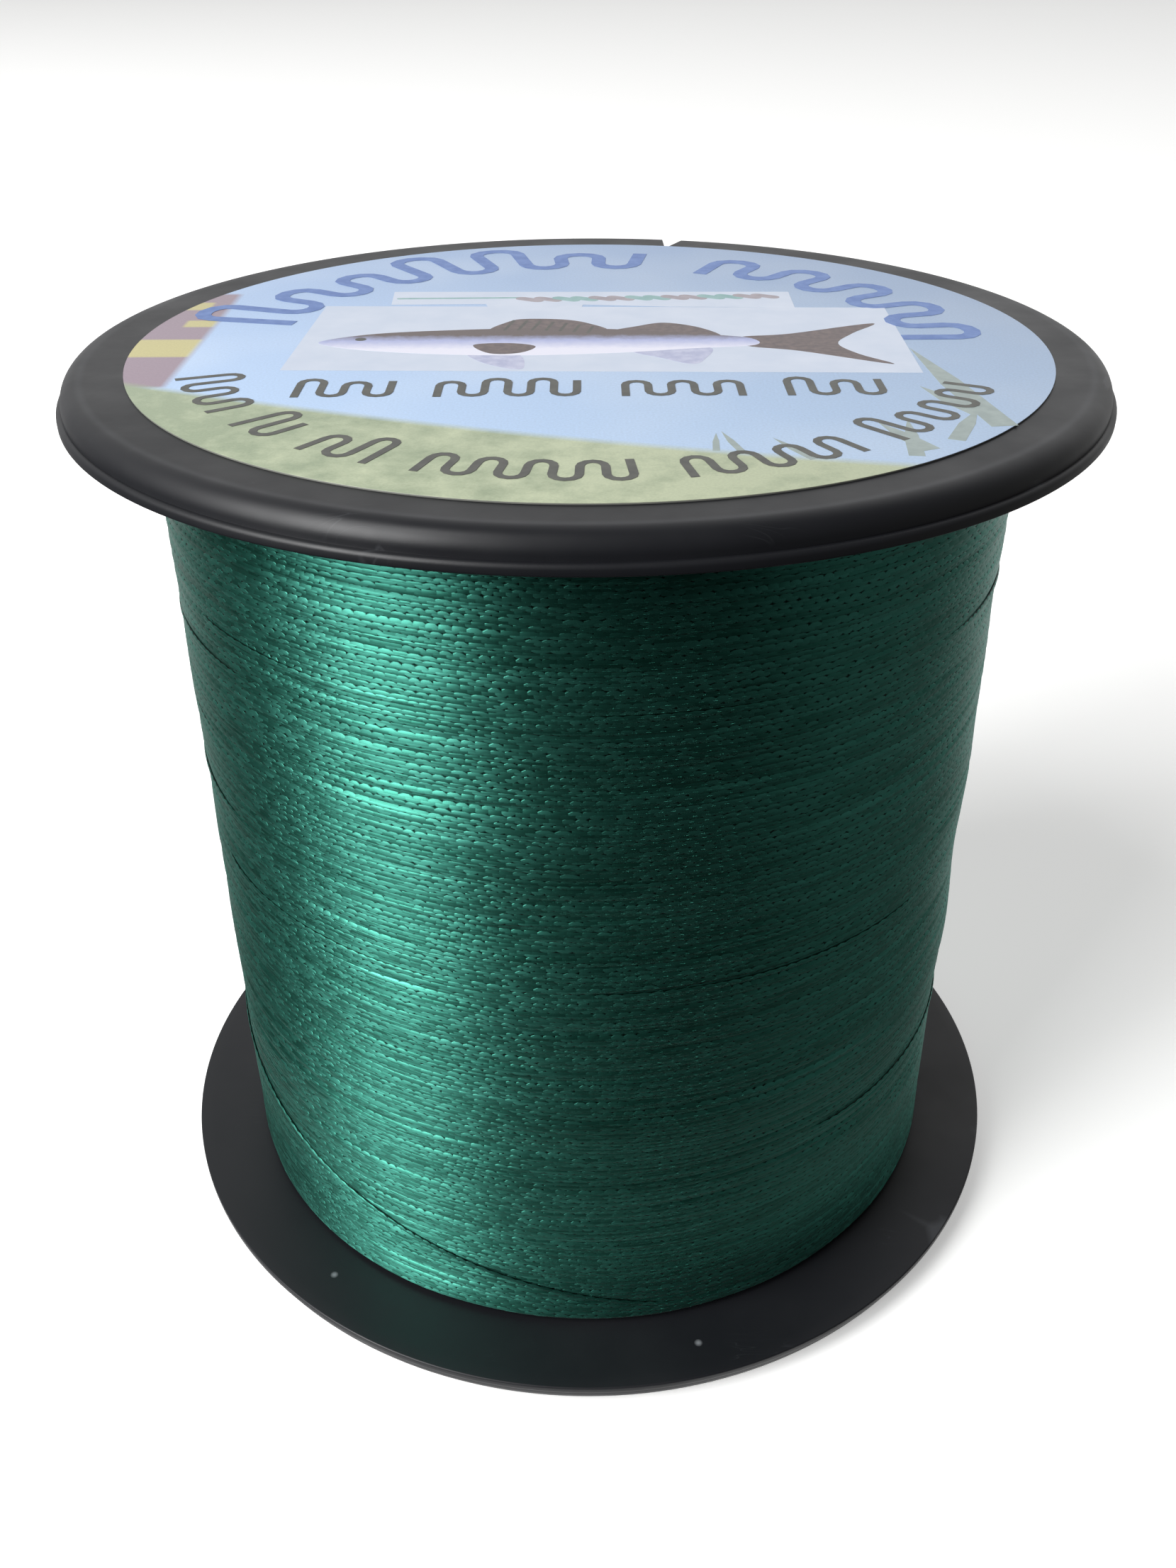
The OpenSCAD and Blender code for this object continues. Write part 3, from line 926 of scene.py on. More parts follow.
@dataclass
class Strand:
    """A length of braid laid round the winding: a flattened section swept along a helix."""

    width: float = 0.57
    thickness: float = 0.12
    sides: int = 8
    steps: int = 144

    @property
    def girth(self) -> float:
        """Distance round the section, in millimetres."""
        return math.pi * (self.width + self.thickness) / 2

    def helix(self, radius: float, start: Point, lead: float, sweep: float) -> BMesh:
        """Winds the strand at an even lead.

        Args:
            radius: Radius of its centre line.
            start: Angle in degrees and height in millimetres where it starts.
            lead: Rise for each full turn.
            sweep: How far it runs, in degrees; negative is clockwise from above.

        Returns:
            The tube, with the layers "along" and "round" in millimetres on its vertices.
        """
        bm = bmesh.new()
        bmesh.ops.create_circle(bm, cap_ends=False, radius=1.0, segments=self.sides)
        stand = Matrix.Rotation(math.pi / 2, 3, "X")
        bmesh.ops.rotate(bm, verts=bm.verts[:], cent=(0, 0, 0), matrix=stand)
        size = (self.thickness / 2 * MM, 1.0, self.width / 2 * MM)
        bmesh.ops.scale(bm, verts=bm.verts[:], vec=size)
        bmesh.ops.translate(bm, verts=bm.verts[:], vec=(radius * MM, 0, start[1] * MM))
        turn = Matrix.Rotation(math.radians(start[0]), 3, "Z")
        bmesh.ops.rotate(bm, verts=bm.verts[:], cent=(0, 0, 0), matrix=turn)
        return self.extend(bm, radius, lead, sweep)

    def extend(self, bm: BMesh, radius: float, lead: float, sweep: float) -> BMesh:
        """Spins the first section into a tube, one turn at a time.

        Args:
            bm: A bmesh that holds the first section.
            radius: Radius of the centre line.
            lead: Rise for each full turn.
            sweep: How far the strand runs, in degrees.

        Returns:
            The same bmesh, closed at both ends.
        """
        whole = max(1, int(abs(sweep) // 360))
        part = abs(sweep) if abs(sweep) < 360 else 360
        steps = max(4, round(self.steps * part / 360))
        signed = math.copysign(part, sweep)
        rise = lead * part / 360
        bmesh.ops.spin(
            bm, geom=bm.verts[:] + bm.edges[:], cent=(0, 0, 0), axis=(0, 0, 1),
            dvec=(0, 0, rise / steps * MM), angle=math.radians(signed), steps=steps,
        )
        bm.verts.ensure_lookup_table()
        along = bm.verts.layers.float.new("along")
        round_it = bm.verts.layers.float.new("round")
        stride = math.hypot(math.radians(part) * radius, rise) / steps
        for i, vert in enumerate(bm.verts):
            vert[along] = i // self.sides * stride
            # The first corner of the section is its top, and three quarters on is the crest
            turn = (i % self.sides / self.sides + 0.75) % 1 - 0.5
            vert[round_it] = turn * self.girth
        first = bm.verts[:] + bm.edges[:] + bm.faces[:]
        for n in range(1, whole):
            copied = bmesh.ops.duplicate(bm, geom=first)["geom"]
            verts = [e for e in copied if isinstance(e, bmesh.types.BMVert)]
            bmesh.ops.translate(bm, verts=verts, vec=(0, 0, n * lead * MM))
            for vert in verts:
                vert[along] += n * steps * stride
        bmesh.ops.remove_doubles(bm, verts=bm.verts[:], dist=0.002 * MM)
        ends = [e for e in bm.edges if e.is_boundary]
        bmesh.ops.holes_fill(bm, edges=ends, sides=self.sides)
        bmesh.ops.recalc_face_normals(bm, faces=bm.faces[:])
        return bm

    def settle(self, bm: BMesh, rule: Callable[[float, float, float], Point]) -> None:
        """Moves each section of the strand to where it really lies.

        Args:
            bm: The tube.
            rule: Takes a vertex's angle in radians, height and distance along the strand in millimetres,
                and gives how far it moves outwards and upwards, in millimetres.
        """
        along = bm.verts.layers.float["along"]
        for vert in bm.verts:
            angle = math.atan2(vert.co.y, vert.co.x)
            out, up = rule(angle, vert.co.z / MM, vert[along])
            vert.co += Vector((math.cos(angle) * out, math.sin(angle) * out, up)) * MM

    def unwrap(self, bm: BMesh) -> None:
        """Writes the UV map "lay", in millimetres along the strand and round it from its crest.

        Args:
            bm: The tube.
        """
        along = bm.verts.layers.float["along"]
        round_it = bm.verts.layers.float["round"]
        lay = bm.loops.layers.uv.new("lay")
        for face in bm.faces:
            places = [loop.vert[round_it] for loop in face.loops]
            wraps = max(places) - min(places) > self.girth / 2
            for loop, place in zip(face.loops, places):
                shifted = place + self.girth if wraps and place < 0 else place
                loop[lay].uv = (loop.vert[along], shifted)


@dataclass(frozen=True)
class Ripple:
    """Smooth noise over the winding's surface.

    Its rate is the number of waves across one radius, and its height that of one wave in millimetres.
    """

    rate: float
    height: float
    shift: tuple[float, float, float] = (0.0, 0.0, 0.0)

    def at(self, angle: float, z: float) -> float:
        """Gives the noise at one place.

        Args:
            angle: Place round the axis, in radians.
            z: Height in millimetres.

        Returns:
            A value from -1 to 1.
        """
        x, y = math.cos(angle) * self.rate, math.sin(angle) * self.rate
        return noise.noise(Vector((
            x + self.shift[0], y + self.shift[1], z / self.height + self.shift[2],
        )))


@dataclass
class Winding:
    """The layers of line that show, wound turn beside turn, in bands so that no piece is too heavy."""

    finish: bpy.types.Material
    crest: float = 29.45
    pitch: float = 0.40
    bands: int = 3
    under_pitch: float = 0.6
    under_drop: float = 0.16
    # How far turns move in furrows and swellings, in millimetres, and the waves that they follow
    sway: float = 0.16
    sink: float = 0.24
    swell: float = 0.20
    strand: Strand = field(default_factory=Strand)
    group: Ripple = Ripple(1.3, 0.62)
    drift: Ripple = Ripple(2.1, 2.6, (7.0, 0.0, 0.0))
    depth: Ripple = Ripple(2.4, 0.45, (0.0, 11.0, 31.0))
    bulge: Ripple = Ripple(1.1, 7.0, (3.0, 0.0, 5.0))
    # The turns next to a flange curve in over this height
    edge: float = 0.7
    under_strand: Strand = field(
        default_factory=lambda: Strand(width=0.70, thickness=0.20, sides=6, steps=96),
    )
    low: float = field(init=False)
    high: float = field(init=False)

    def __post_init__(self) -> None:
        """Takes the ends of the winding from the frame."""
        low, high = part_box("line_outer_layers")
        self.low = low.z / MM
        self.high = high.z / MM

    def lie(self, angle: float, z: float, _along: float) -> Point:
        """How a turn strays from its even helix.

        Turns lean together in groups and leave furrows, and the winding swells a little here and there.

        Args:
            angle: Place round the axis, in radians.
            z: Height in millimetres.
            _along: Not used.

        Returns:
            How far the turn moves outwards and upwards, in millimetres.
        """
        out = self.swell * self.bulge.at(angle, z) - self.sink * max(0.0, self.depth.at(angle, z))
        lean = self.group.at(angle, z) + 0.8 * self.drift.at(angle, z)
        inset = min(z - self.low, self.high - z)
        short = max(0.0, 1 - inset / self.edge)
        out -= self.edge * (1 - math.sqrt(max(0.0, 1 - min(1.0, short) ** 2)))
        return out, self.sway * lean * min(1.0, inset / self.edge)

    def lay_band(
        self, name: str, strand: Strand, radius: float, pitch: float, start: float, turns: int,
    ) -> bpy.types.Object:
        """Winds one band of turns.

        Args:
            name: The piece's name.
            strand: The strand that is wound.
            radius: Radius of the strand's centre line.
            pitch: Distance from turn to turn.
            start: Height of the first turn.
            turns: Number of turns.

        Returns:
            The finished piece.
        """
        bm = strand.helix(radius, (0.0, start), pitch, 360.0 * turns)
        strand.settle(bm, self.lie)
        strand.unwrap(bm)
        return finish_piece(bm, name, [self.finish], Slot.LINE, crease=85.0)

    def build(self) -> list[bpy.types.Object]:
        """Winds the outer bands and the layer that shows in the furrows between their turns.

        Returns:
            The pieces.
        """
        half = self.strand.width / 2
        radius = self.crest - self.strand.thickness / 2
        room = self.high - self.low - 2 * half
        turns = int(room / self.pitch)
        pieces = []
        done = 0
        for band in range(self.bands):
            count = turns * (band + 1) // self.bands - done
            start = self.low + half + done * self.pitch
            pieces.append(self.lay_band(
                f"line_outer_turns_{band + 1}", self.strand, radius, self.pitch, start, count,
            ))
            done += count
        under = int((self.high - self.low - self.under_strand.width) / self.under_pitch)
        pieces.append(self.lay_band(
            "line_under_turns", self.under_strand, radius - self.under_drop, self.under_pitch,
            self.low + self.under_strand.width / 2, under,
        ))
        for piece in pieces:
            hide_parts("line_outer_layers")
        return pieces


@dataclass
class CrossingTurns:
    """Single turns that cross the others at a steeper lead: a few strays, and the line's last turn."""

    finish: bpy.types.Material
    crest: float = 29.45
    strays: int = 11
    stray_lead: tuple[float, float] = (0.8, 2.8)
    stray_sweep: tuple[float, float] = (50.0, 190.0)
    seed: int = 7
    # How far the centre of a turn lies over the crests beneath
    stray_over: float = -0.07
    last_over: float = 0.04
    margin: float = 1.5
    dip: float = 0.42
    ease: float = 6.0
    wander: float = 0.06
    last_start: Point = (-72.0, 2.9)
    last_sweep: float = 250.0
    last_lead: float = 45.0
    strand: Strand = field(default_factory=lambda: Strand(width=0.42, thickness=0.16, steps=180))

    def tucked(self, length: float) -> Callable[[float, float, float], Point]:
        """The rule that lets both ends of a turn dip under its neighbours.

        Args:
            length: Length of the turn in millimetres.

        Returns:
            The rule for Strand.settle.
        """
        def rule(_angle: float, z: float, along: float) -> Point:
            """Gives the dip at this distance along the turn."""
            from_end = min(along, length - along)
            share = max(0.0, 1 - from_end / self.ease)
            sway = self.wander * noise.noise(Vector((along / 6, z / 4, 0)))
            return -self.dip * share * share + sway * 0.4, sway
        return rule

    def lay(self, name: str, start: Point, lead: float, sweep: float, over: float) -> bpy.types.Object:
        """Lays one crossing turn.

        Args:
            name: The piece's name.
            start: Angle and height where it starts.
            lead: Rise for each full turn.
            sweep: How far it runs, in degrees.
            over: How far its centre lies over the crests of the turns beneath.

        Returns:
            The finished piece.
        """
        radius = self.crest + over
        bm = self.strand.helix(radius, start, lead, sweep)
        length = math.hypot(math.radians(sweep) * radius, lead * sweep / 360)
        self.strand.settle(bm, self.tucked(length))
        self.strand.unwrap(bm)
        return finish_piece(bm, name, [self.finish], Slot.LINE, crease=85.0)

    def build(self) -> list[bpy.types.Object]:
        """Lays the strays, half sunk between the turns beneath, and the last turn on top of them.

        Returns:
            The pieces.
        """
        low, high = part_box("line_outer_layers")
        draw = random.Random(self.seed)
        pieces = []
        for i in range(self.strays):
            lead = draw.uniform(*self.stray_lead) * draw.choice((-1, 1))
            sweep = draw.uniform(*self.stray_sweep)
            rise = lead * sweep / 360
            lowest = low.z / MM + self.margin + max(0.0, -rise)
            highest = high.z / MM - self.margin - max(0.0, rise)
            share = (i + draw.uniform(0.1, 0.9)) / self.strays
            start = (draw.uniform(0, 360), lowest + (highest - lowest) * share)
            name = f"line_stray_turn_{i + 1:02d}"
            pieces.append(self.lay(name, start, lead, sweep, self.stray_over))
        last = self.lay(
            "line_last_turn_braid", self.last_start, self.last_lead, -self.last_sweep, self.last_over,
        )
        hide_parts("line_last_turn")
        return [*pieces, last]


# ---------------------------------------------------------------- label


@dataclass
class Label:
    """The round label: printed paper, and the shapes printed on it as thin films of ink."""

    paper: bpy.types.Material
    corner: float = 0.02
    steps: int = 180
    film: float = 0.004
    # Shapes of one piece may overlap, so each lies a hair over the one before
    hair: float = 0.00002
    centre: Point = field(init=False)
    radius: float = field(init=False)
    base: float = field(init=False)
    top: float = field(init=False)

    def __post_init__(self) -> None:
        """Takes the label's place and size from the frame."""
        low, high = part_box("paper_label")
        self.centre = ((low.x + high.x) / 2 / MM, (low.y + high.y) / 2 / MM)
        self.radius = (high.x - low.x) / 2 / MM
        self.base = low.z / MM
        self.top = high.z / MM

    def build_paper(self) -> bpy.types.Object:
        """Builds the paper disc.

        Returns:
            The finished piece.
        """
        bm = bmesh.new()
        bmesh.ops.create_cone(
            bm, cap_ends=True, segments=self.steps, radius1=self.radius * MM, radius2=self.radius * MM,
            depth=(self.top - self.base) * MM,
        )
        rim = [e for e in bm.edges if abs(e.verts[0].co.z - e.verts[1].co.z) < 1e-9]
        bmesh.ops.bevel(
            bm, geom=rim, offset=self.corner * MM, segments=2, profile=0.5, affect="EDGES", material=-1,
        )
        centre = (self.centre[0] * MM, self.centre[1] * MM, (self.base + self.top) / 2 * MM)
        bmesh.ops.translate(bm, vec=centre, verts=bm.verts[:])
        piece = finish_piece(bm, "label_sheet", [self.paper], Slot.LABEL)
        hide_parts("paper_label")
        return piece

    def print_shapes(
        self, name: str, shapes: Sequence[tuple[Sequence[Point], int]], inks: Sequence[bpy.types.Material],
        layer: int,
    ) -> bpy.types.Object:
        """Prints flat shapes as one piece.

        Args:
            name: The piece's name.
            shapes: Outlines in millimetres, each with the number of its ink.
            inks: The inks.
            layer: Which film of ink this is, counted up from the paper.

        Returns:
            The finished piece.
        """
        whole = bmesh.new()
        mesh = bpy.data.meshes.new("shape")
        for number, (outline, ink) in enumerate(shapes):
            lift = self.top + layer * self.film + number * self.hair
            bm = slab(outline, lift - self.film, self.film * 2)
            for face in bm.faces:
                face.material_index = ink
            bm.to_mesh(mesh)
            bm.free()
            whole.from_mesh(mesh)
        bpy.data.meshes.remove(mesh)
        bmesh.ops.triangulate(whole, faces=whole.faces[:])
        return finish_piece(whole, name, inks, Slot.LABEL)


def smooth_outline(points: Sequence[Point], steps: int = 6) -> list[Point]:
    """Rounds a closed outline through its points.

    Args:
        points: A few points, in order.
        steps: Straight pieces between two points.

    Returns:
        The rounded outline.
    """
    made = []
    count = len(points)
    for i in range(count):
        a, b, c, d = (Vector(points[(i + k) % count]) for k in (-1, 0, 1, 2))
        for s in range(steps):
            t = s / steps
            spot = 0.5 * (
                2 * b + (c - a) * t + (2 * a - 5 * b + 4 * c - d) * t * t + (3 * b - a - 3 * c + d) * t ** 3
            )
            made.append((spot.x, spot.y))
    return made


def stroke(centre: Point, width: float, height: float, turn: float = 0.0) -> list[Point]:
    """A bar with round ends.

    Args:
        centre: Its middle.
        width: Its width.
        height: Its height, ends included.
        turn: How far it is turned, in degrees.

    Returns:
        Its outline.
    """
    radius = width / 2
    reach = max(0.0, height / 2 - radius)
    upright = [*arc((0, reach), radius, 0, 180, 6), *arc((0, -reach), radius, 180, 360, 6)]
    c, s = math.cos(math.radians(turn)), math.sin(math.radians(turn))
    return [(centre[0] + x * c - y * s, centre[1] + x * s + y * c) for x, y in upright]


def ribbon(line: Sequence[Point], width: float) -> list[Point]:
    """A band of even width along a line.

    Args:
        line: Points of its middle line.
        width: Its width.

    Returns:
        Its outline.
    """
    sides: tuple[list[Point], list[Point]] = ([], [])
    for i, spot in enumerate(line):
        before, after = Vector(line[max(0, i - 1)]), Vector(line[min(len(line) - 1, i + 1)])
        run = (after - before).normalized()
        for side, sign in zip(sides, (1, -1)):
            side.append((spot[0] - run.y * sign * width / 2, spot[1] + run.x * sign * width / 2))
    return [*sides[0], *reversed(sides[1])]


@dataclass
class Fish:
    """A plain freshwater fish of no special kind, nose to the left."""

    body: Sequence[Point] = (
        (-18.0, -0.5), (-14.6, 1.3), (-9.5, 2.2), (-4.0, 2.6), (2.0, 2.3), (7.0, 1.1), (11.0, 0.0),
        (11.4, -1.9), (7.0, -2.7), (2.0, -3.7), (-4.0, -4.2), (-9.5, -3.9), (-14.6, -2.9), (-17.4, -1.7),
    )
    tail: Sequence[Point] = (
        (10.6, 0.1), (14.0, 0.9), (20.2, 3.6), (18.4, 1.0), (17.0, -1.6), (18.0, -4.2), (19.8, -6.6),
        (14.2, -3.4), (10.8, -2.1),
    )
    front_fin: Sequence[Point] = (
        (-6.6, 1.9), (-5.6, 4.3), (-4.4, 5.2), (-1.6, 5.0), (0.2, 3.9), (1.4, 1.9), (-2.6, 1.2),
    )
    rear_fin: Sequence[Point] = ((1.8, 1.6), (3.6, 3.1), (5.6, 4.0), (8.0, 2.6), (9.2, 0.2), (5.6, 0.6))
    belly_fin: Sequence[Point] = ((-7.8, -3.6), (-6.8, -5.8), (-4.9, -7.3), (-4.0, -7.0), (-4.6, -3.8))
    vent_fin: Sequence[Point] = ((3.2, -3.2), (5.0, -5.0), (6.8, -6.4), (7.7, -5.4), (8.2, -2.4))
    side_fin: Sequence[Point] = ((-7.6, -1.6), (-5.2, -1.2), (-3.4, -2.0), (-4.4, -3.6), (-6.4, -3.7))
    spines: int = 7
    first_spine: Point = (-5.4, 3.5)
    spine_gap: float = 0.95
    spine_bow: float = 0.036
    spine_size: Point = (0.22, 2.9)
    spine_fade: float = 0.16
    spine_lean: float = -12.0
    eye: Point = (-15.4, -0.1)
    eye_size: float = 0.8

    def shapes(self) -> list[tuple[list[Point], int]]:
        """All the fish's shapes.

        Returns:
            Outlines with ink numbers: 0 skin, 1 brown fins, 2 pale fins, 3 eye and spines.
        """
        made = [(smooth_outline(fin), 2) for fin in (self.belly_fin, self.vent_fin)]
        made += [(smooth_outline(fin), 1) for fin in (self.front_fin, self.rear_fin, self.tail)]
        made.append((smooth_outline(self.body), 0))
        made.append((smooth_outline(self.side_fin), 1))
        for i in range(self.spines):
            centre = (self.first_spine[0] + i * self.spine_gap, self.first_spine[1] - self.spine_bow * i * i)
            width, height = self.spine_size
            made.append((stroke(centre, width, height - self.spine_fade * i, self.spine_lean), 3))
        made.append((stroke(self.eye, self.eye_size, self.eye_size), 3))
        return made


@dataclass
class Artwork:
    """What is printed on the label: a white panel with a fish, a strip with a cord, reeds, and meanders.

    The rows of meanders stand where a label carries its wording, and hold no letters.
    """

    label: Label
    panel_centre: Point = (1.1, 0.3)
    panel_size: Point = (41.0, 16.6)
    panel_turn: float = -1.6
    word_gap: float = 2.1
    high_share: float = 0.3
    cord_pitch: float = 1.36
    cord_picks: int = 14
    seed: int = 3

    def turned(self, points: Sequence[Point], centre: Point, turn: float) -> list[Point]:
        """Turns an outline about its own origin and moves it to its place.

        Args:
            points: The outline.
            centre: Where its origin goes.
            turn: How far it is turned, in degrees.

        Returns:
            The outline in its place.
        """
        c, s = math.cos(math.radians(turn)), math.sin(math.radians(turn))
        return [(centre[0] + x * c - y * s, centre[1] + x * s + y * c) for x, y in points]

    def panel(self) -> list[Point]:
        """Outline of the white panel."""
        x, y = self.panel_size[0] / 2, self.panel_size[1] / 2
        return self.turned([(-x, -y), (x, -y), (x, y), (-x, y)], self.panel_centre, self.panel_turn)

    def strip(self) -> list[Point]:
        """Outline of the white strip over the panel."""
        return [
            (-14.4, 9.5), (-7.4, 9.6), (-6.9, 7.4), (-0.6, 7.0), (-0.2, 9.3), (6.0, 8.6), (15.3, 8.2),
            (15.4, 13.0), (-14.6, 13.5),
        ]

    def cord(self) -> list[tuple[list[Point], int]]:
        """The cord on the strip: a thin thread that becomes a twist of two colours.

        Returns:
            Outlines with ink numbers: 0 teal, 1 brown.
        """
        made = [(stroke((-9.4, 11.4), 0.4, 9.6, 91), 0)]
        for i in range(self.cord_picks):
            centre = (-4.2 + i * self.cord_pitch, 10.9 + 0.06 * i)
            made.append((stroke(centre, 0.95, 2.3, 62), (i // 2 + 1) % 2))
        return made

    def reeds(self) -> list[tuple[list[Point], int]]:
        """Grass blades at the right of the picture.

        Returns:
            Outlines with ink number 0.
        """
        blades = [
            ((23.9, -19.2), 16.6, 1.6, 8), ((23.0, -16.9), 6.0, 1.2, 24), ((18.9, -23.2), 5.2, 1.1, 24),
            ((17.9, -24.2), 6.4, 0.9, -6), ((20.6, -21.6), 6.0, 1.0, -24), ((12.3, -24.6), 4.0, 0.6, 28),
            ((8.5, -23.4), 3.6, 0.45, 14), ((7.1, -23.2), 3.0, 0.4, -4),
        ]
        made = []
        for foot, length, width, lean in blades:
            blade = [(-width / 2, 0), (width / 2, 0), (width * 0.42, length * 0.55), (0, length)]
            blade.append((-width * 0.5, length * 0.5))
            made.append((self.turned(blade, foot, lean), 0))
        return made

    def scribble(
        self, words: Sequence[int], spacing: float, width: float, tall: Point,
        place: Callable[[float], tuple[Point, float]],
    ) -> list[tuple[list[Point], int]]:
        """A row of meanders, one for each word: upright strokes joined by round turns, with no letters.

        Args:
            words: Number of strokes in each meander.
            spacing: Distance from stroke to stroke.
            width: Width of the stroke.
            tall: Height of a low and of a high turn.
            place: Takes the distance from the row's middle and gives the foot of a stroke and its turn.

        Returns:
            Outlines with ink number 0.
        """
        draw = random.Random(self.seed)
        length = (sum(words) - len(words) + self.word_gap * (len(words) - 1)) * spacing
        made = []
        at = -length / 2
        bend = spacing / 2
        for word in words:
            line = [(at, 0.0)]
            for i in range(word - 1):
                peak = tall[1] if draw.random() < self.high_share else tall[0]
                level = peak - width / 2 - bend if i % 2 == 0 else width / 2 + bend
                ends = (180, 0) if i % 2 == 0 else (180, 360)
                line += arc((at + bend, level), bend, *ends, 6)
                at += spacing
            line.append((at, tall[0] if word % 2 else 0.0))
            feet = [(place(x), y) for x, y in line]
            spots = [self.turned([(0, y)], foot, turn)[0] for (foot, turn), y in feet]
            made.append((ribbon(spots, width), 0))
            at += self.word_gap * spacing
        return made

    def along_arc(
        self, radius: float, middle: float, inward: bool,
    ) -> Callable[[float], tuple[Point, float]]:
        """Places strokes on an arc round the label's centre.

        Args:
            radius: Radius of the strokes' feet.
            middle: Angle of the row's middle, in degrees.
            inward: Whether the strokes' heads point to the centre.

        Returns:
            The place rule for scribble.
        """
        def place(at: float) -> tuple[Point, float]:
            """Gives the foot and the turn of the stroke at this distance."""
            step = math.degrees(at / radius)
            angle = middle + step if inward else middle - step
            foot = (
                self.label.centre[0] + radius * math.cos(math.radians(angle)),
                self.label.centre[1] + radius * math.sin(math.radians(angle)),
            )
            return foot, angle + 90 if inward else angle - 90
        return place

    def along_line(self, centre: Point) -> Callable[[float], tuple[Point, float]]:
        """Places strokes on a straight line through this point, as a rule for scribble."""
        return lambda at: ((centre[0] + at, centre[1]), 0.0)

    def build(self) -> list[bpy.types.Object]:
        """Prints everything.

        Returns:
            The pieces.
        """
        white = Ink("printed_white", "#C3CDDE", "#CCD4E3", blotch=3.0).make()
        teal = Ink("printed_teal", "#7FA6A6", "#93B5B5").make()
        brown = Ink("printed_cord_brown", "#958D95", "#A59DA4").make()
        reed = Ink("printed_reed", "#8D9A98", "#9CA9A6").make()
        blue = Ink("printed_blue", "#4E6FAE", "#6583BD").make()
        black = Ink("printed_black", "#3C3D38", "#4E4F48").make()
        fin = Ink("printed_fin_brown", "#54484A", "#6E5F5C", blotch=0.5).make()
        pale_fin = Ink("printed_fin_pale", "#A9AECB", "#C3C6DC", blotch=0.6).make()
        show = self.label.print_shapes
        return [
            show("label_reeds", self.reeds(), [reed], 1),
            show("label_panel", [(self.panel(), 0), (self.strip(), 0)], [white], 2),
            show("label_cord", self.cord(), [teal, brown], 3),
            show("label_fish", Fish().shapes(), [FishInk().make(), fin, pale_fin, black], 3),
            show("label_title_row", self.scribble(
                (13, 10), 2.7, 1.15, (5.8, 8.2), self.along_arc(21.4, 84, False),
            ), [blue], 4),
            show("label_middle_row", self.scribble(
                (5, 7, 6, 5), 1.42, 0.5, (3.3, 3.9), self.along_line((0.2, -13.2)),
            ), [black], 4),
            show("label_foot_row", self.scribble(
                (6, 3, 4, 9, 8, 9), 1.5, 0.5, (3.3, 4.3), self.along_arc(27.6, -93, True),
            ), [black], 4),
        ]


# ---------------------------------------------------------------- inside parts, studio


@dataclass
class InsideParts:
    """CAD nodes whose shape is right as it is, and which only need their finish."""

    plastic: bpy.types.Material
    fibre: bpy.types.Material
    tape: bpy.types.Material

    def dress(self) -> None:
        """Gives each node its material."""
        finishes = {
            "core_tube": self.plastic,
            "arbor_tube": self.plastic,
            "starter_tape": self.tape,
            "line_start": self.fibre,
            "line_inner_layers": self.fibre,
        }
        for name, finish in finishes.items():
            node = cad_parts[name]
            node.data.materials.clear()
            node.data.materials.append(finish)
            LOG.info("%s: keeps its CAD shape, in %s", name, finish.name)


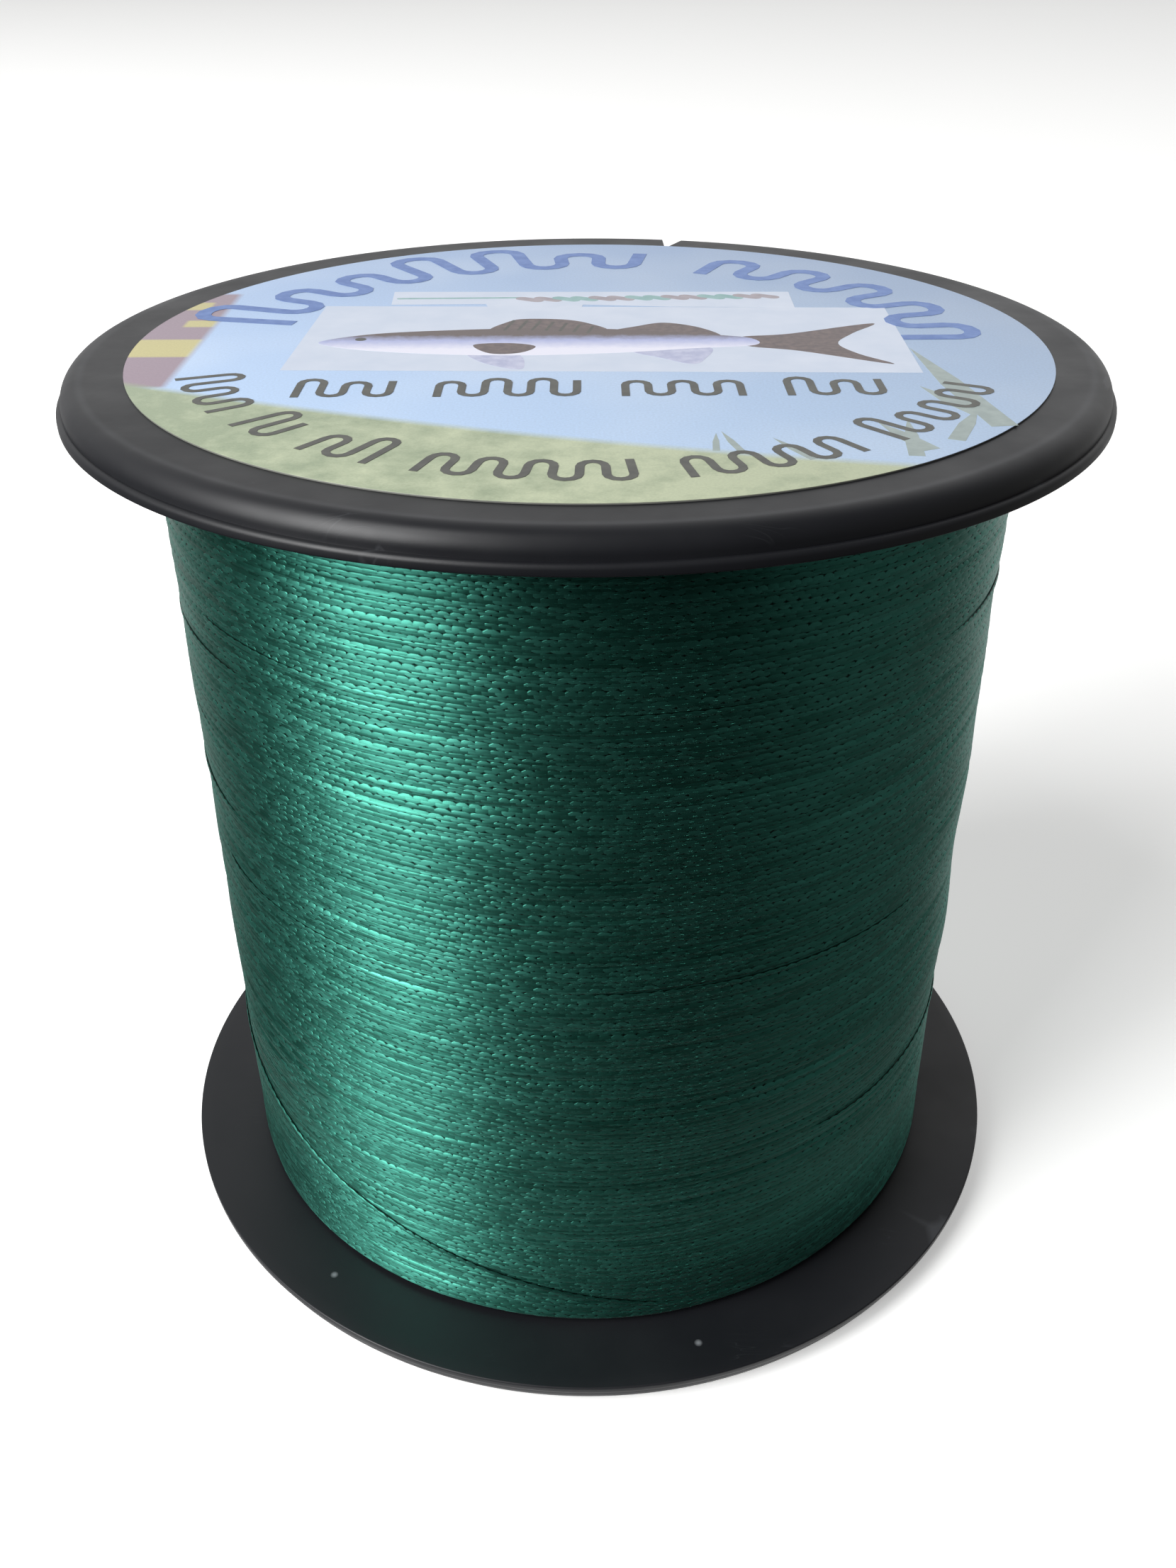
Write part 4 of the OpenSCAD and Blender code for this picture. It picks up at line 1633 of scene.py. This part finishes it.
@dataclass
class Studio:
    """A pale table in a cove, a soft window at the front left, pale walls, and a camera close by."""

    camera_place: tuple[float, float, float] = (0.0, -99.46, 93.69)
    camera_down: float = 31.99
    camera_roll: float = -0.246
    lens: float = 32.96
    table_radius: float = 3.0
    # Only the table close to the spool shows in its surfaces
    near_radius: float = 0.038
    cove_height: float = 2.4
    table_sides: int = 96
    # Name, azimuth, elevation and radiance of each pane of the window
    panes: tuple[tuple[str, float, float, float], ...] = (
        ("window_low_pane", -51.0, 20.0, 11.0),
        ("window_side_pane", -63.0, 20.0, 2.2),
        ("window_high_pane", -63.0, 45.0, 7.6),
    )
    pane_distance: float = 1.5
    pane_size: tuple[float, float] = (0.72, 0.94)
    # Direction and radiance of each pale wall of the room
    walls: tuple[tuple[tuple[float, float, float], float], ...] = (
        ((0.0, 1.0, 0.25), 0.84),
        ((1.0, 0.2, 0.15), 0.18),
    )
    # How squarely a wall is faced where its light begins, and where it is full
    wall_spread: Point = (0.2, 0.9)

    def light(self, name: str, radiance: float, place: Vector, aim: Vector) -> None:
        """Adds one pane of the window as an area light.

        Args:
            name: Its name.
            radiance: How bright its face is.
            place: Where it is.
            aim: What it points at.
        """
        data = bpy.data.lights.new(name, "AREA")
        data.shape = "RECTANGLE"
        width, height = self.pane_size
        data.size, data.size_y = width, height
        data.energy = radiance * width * height * math.pi
        lamp = bpy.data.objects.new(name, data)
        lamp.location = place
        lamp.rotation_euler = (aim - place).to_track_quat("-Z", "Y").to_euler()
        lamp.visible_camera = False
        bpy.context.scene.collection.objects.link(lamp)

    def build_camera(self) -> None:
        """Makes the camera, close to the spool and looking down at it."""
        camera = bpy.data.cameras.new("camera")
        camera.sensor_width = 36.0
        camera.lens = self.lens
        camera.clip_start = 0.01
        eye = bpy.data.objects.new("camera", camera)
        eye.location = Vector(self.camera_place) * MM
        down = Matrix.Rotation(math.radians(90 - self.camera_down), 3, "X")
        eye.rotation_euler = (down @ Matrix.Rotation(math.radians(self.camera_roll), 3, "Z")).to_euler()
        bpy.context.scene.collection.objects.link(eye)
        bpy.context.scene.camera = eye

    def build_lights(self) -> None:
        """Makes the window's panes and the room's pale walls."""
        middle = (CAD_BOX[0] + CAD_BOX[1]) / 2
        for name, across, up, radiance in self.panes:
            azimuth, elevation = math.radians(across), math.radians(up)
            flat = math.cos(elevation)
            towards = Vector((math.sin(azimuth) * flat, -math.cos(azimuth) * flat, math.sin(elevation)))
            self.light(name, radiance, middle + towards * self.pane_distance, middle)
        room = Tree(bpy.data.worlds.new("room"), "Background")
        place = room.add("TexCoord", out="Generated")
        shade = 0.0
        for towards, radiance in self.walls:
            aim = Vector(towards).normalized()
            facing = room.add("VectorMath", {0: place, 1: aim}, out="Value", operation="DOT_PRODUCT")
            glow = room.add("MapRange", {
                "Value": facing, 1: self.wall_spread[0], 2: self.wall_spread[1], 3: 0.0, 4: radiance,
            }, interpolation_type="SMOOTHSTEP")
            shade = room.add("Math", {0: shade, 1: glow})
        bpy.context.scene.world = room.shade({"Color": shade})

    def lay_table(self, name: str, bm: BMesh, finish: bpy.types.Material) -> bpy.types.Object:
        """Makes one part of the table and links it into the scene.

        Args:
            name: Its name.
            bm: Its shape. It is used up.
            finish: Its material.

        Returns:
            The object, linked into the scene.
        """
        bmesh.ops.recalc_face_normals(bm, faces=bm.faces[:])
        bm.faces.ensure_lookup_table()
        if bm.faces[0].normal.z < 0:
            bmesh.ops.reverse_faces(bm, faces=bm.faces[:])
        mesh = bpy.data.meshes.new(name)
        bm.to_mesh(mesh)
        bm.free()
        mesh.materials.append(finish)
        table = bpy.data.objects.new(name, mesh)
        bpy.context.scene.collection.objects.link(table)
        return table

    def build_table(self) -> None:
        """Makes the pale table: a disc under the spool, and round it a cove that lights nothing."""
        finish = LightTable().make()
        near = bmesh.new()
        bmesh.ops.create_circle(near, cap_ends=True, radius=self.near_radius, segments=self.table_sides)
        self.lay_table("table_near", near, finish)
        far = bmesh.new()
        bmesh.ops.create_circle(far, cap_ends=False, radius=self.near_radius, segments=self.table_sides)
        rim = far.edges[:]
        for spread, rise in ((self.table_radius / self.near_radius, 0.0), (1.0, self.cove_height)):
            drawn = bmesh.ops.extrude_edge_only(far, edges=rim)["geom"]
            verts = {e for e in drawn if isinstance(e, bmesh.types.BMVert)}
            bmesh.ops.scale(far, vec=(spread, spread, 1), verts=list(verts))
            bmesh.ops.translate(far, vec=(0, 0, rise), verts=list(verts))
            edges = [e for e in drawn if isinstance(e, bmesh.types.BMEdge)]
            rim = [e for e in edges if set(e.verts) <= verts]
        table = self.lay_table("table", far, finish)
        table.visible_diffuse = table.visible_glossy = table.visible_shadow = False

    def build(self) -> None:
        """Makes the camera, the lights and the table."""
        bpy.context.scene.view_settings.view_transform = "Standard"
        self.build_camera()
        self.build_lights()
        self.build_table()


def main() -> None:
    """Builds the spool's pieces and the studio, in order."""
    logging.basicConfig(level=logging.INFO, format="%(name)s: %(message)s")
    Studio().build()
    plastic = MouldedPolystyrene().make()
    Flange("lower_flange", plastic, turned_over=False, notched=False).build()
    Flange("upper_flange", plastic, turned_over=True, notched=True).build()
    InsideParts(ExtrudedPolystyrene().make(), WoundFibre().make(), MaskingTape().make()).dress()
    braid = BraidedFibre().make()
    Winding(braid).build()
    CrossingTurns(braid).build()
    label = Label(PrintedPaper().make())
    label.build_paper()
    Artwork(label).build()


if __name__ == "__main__":
    main()
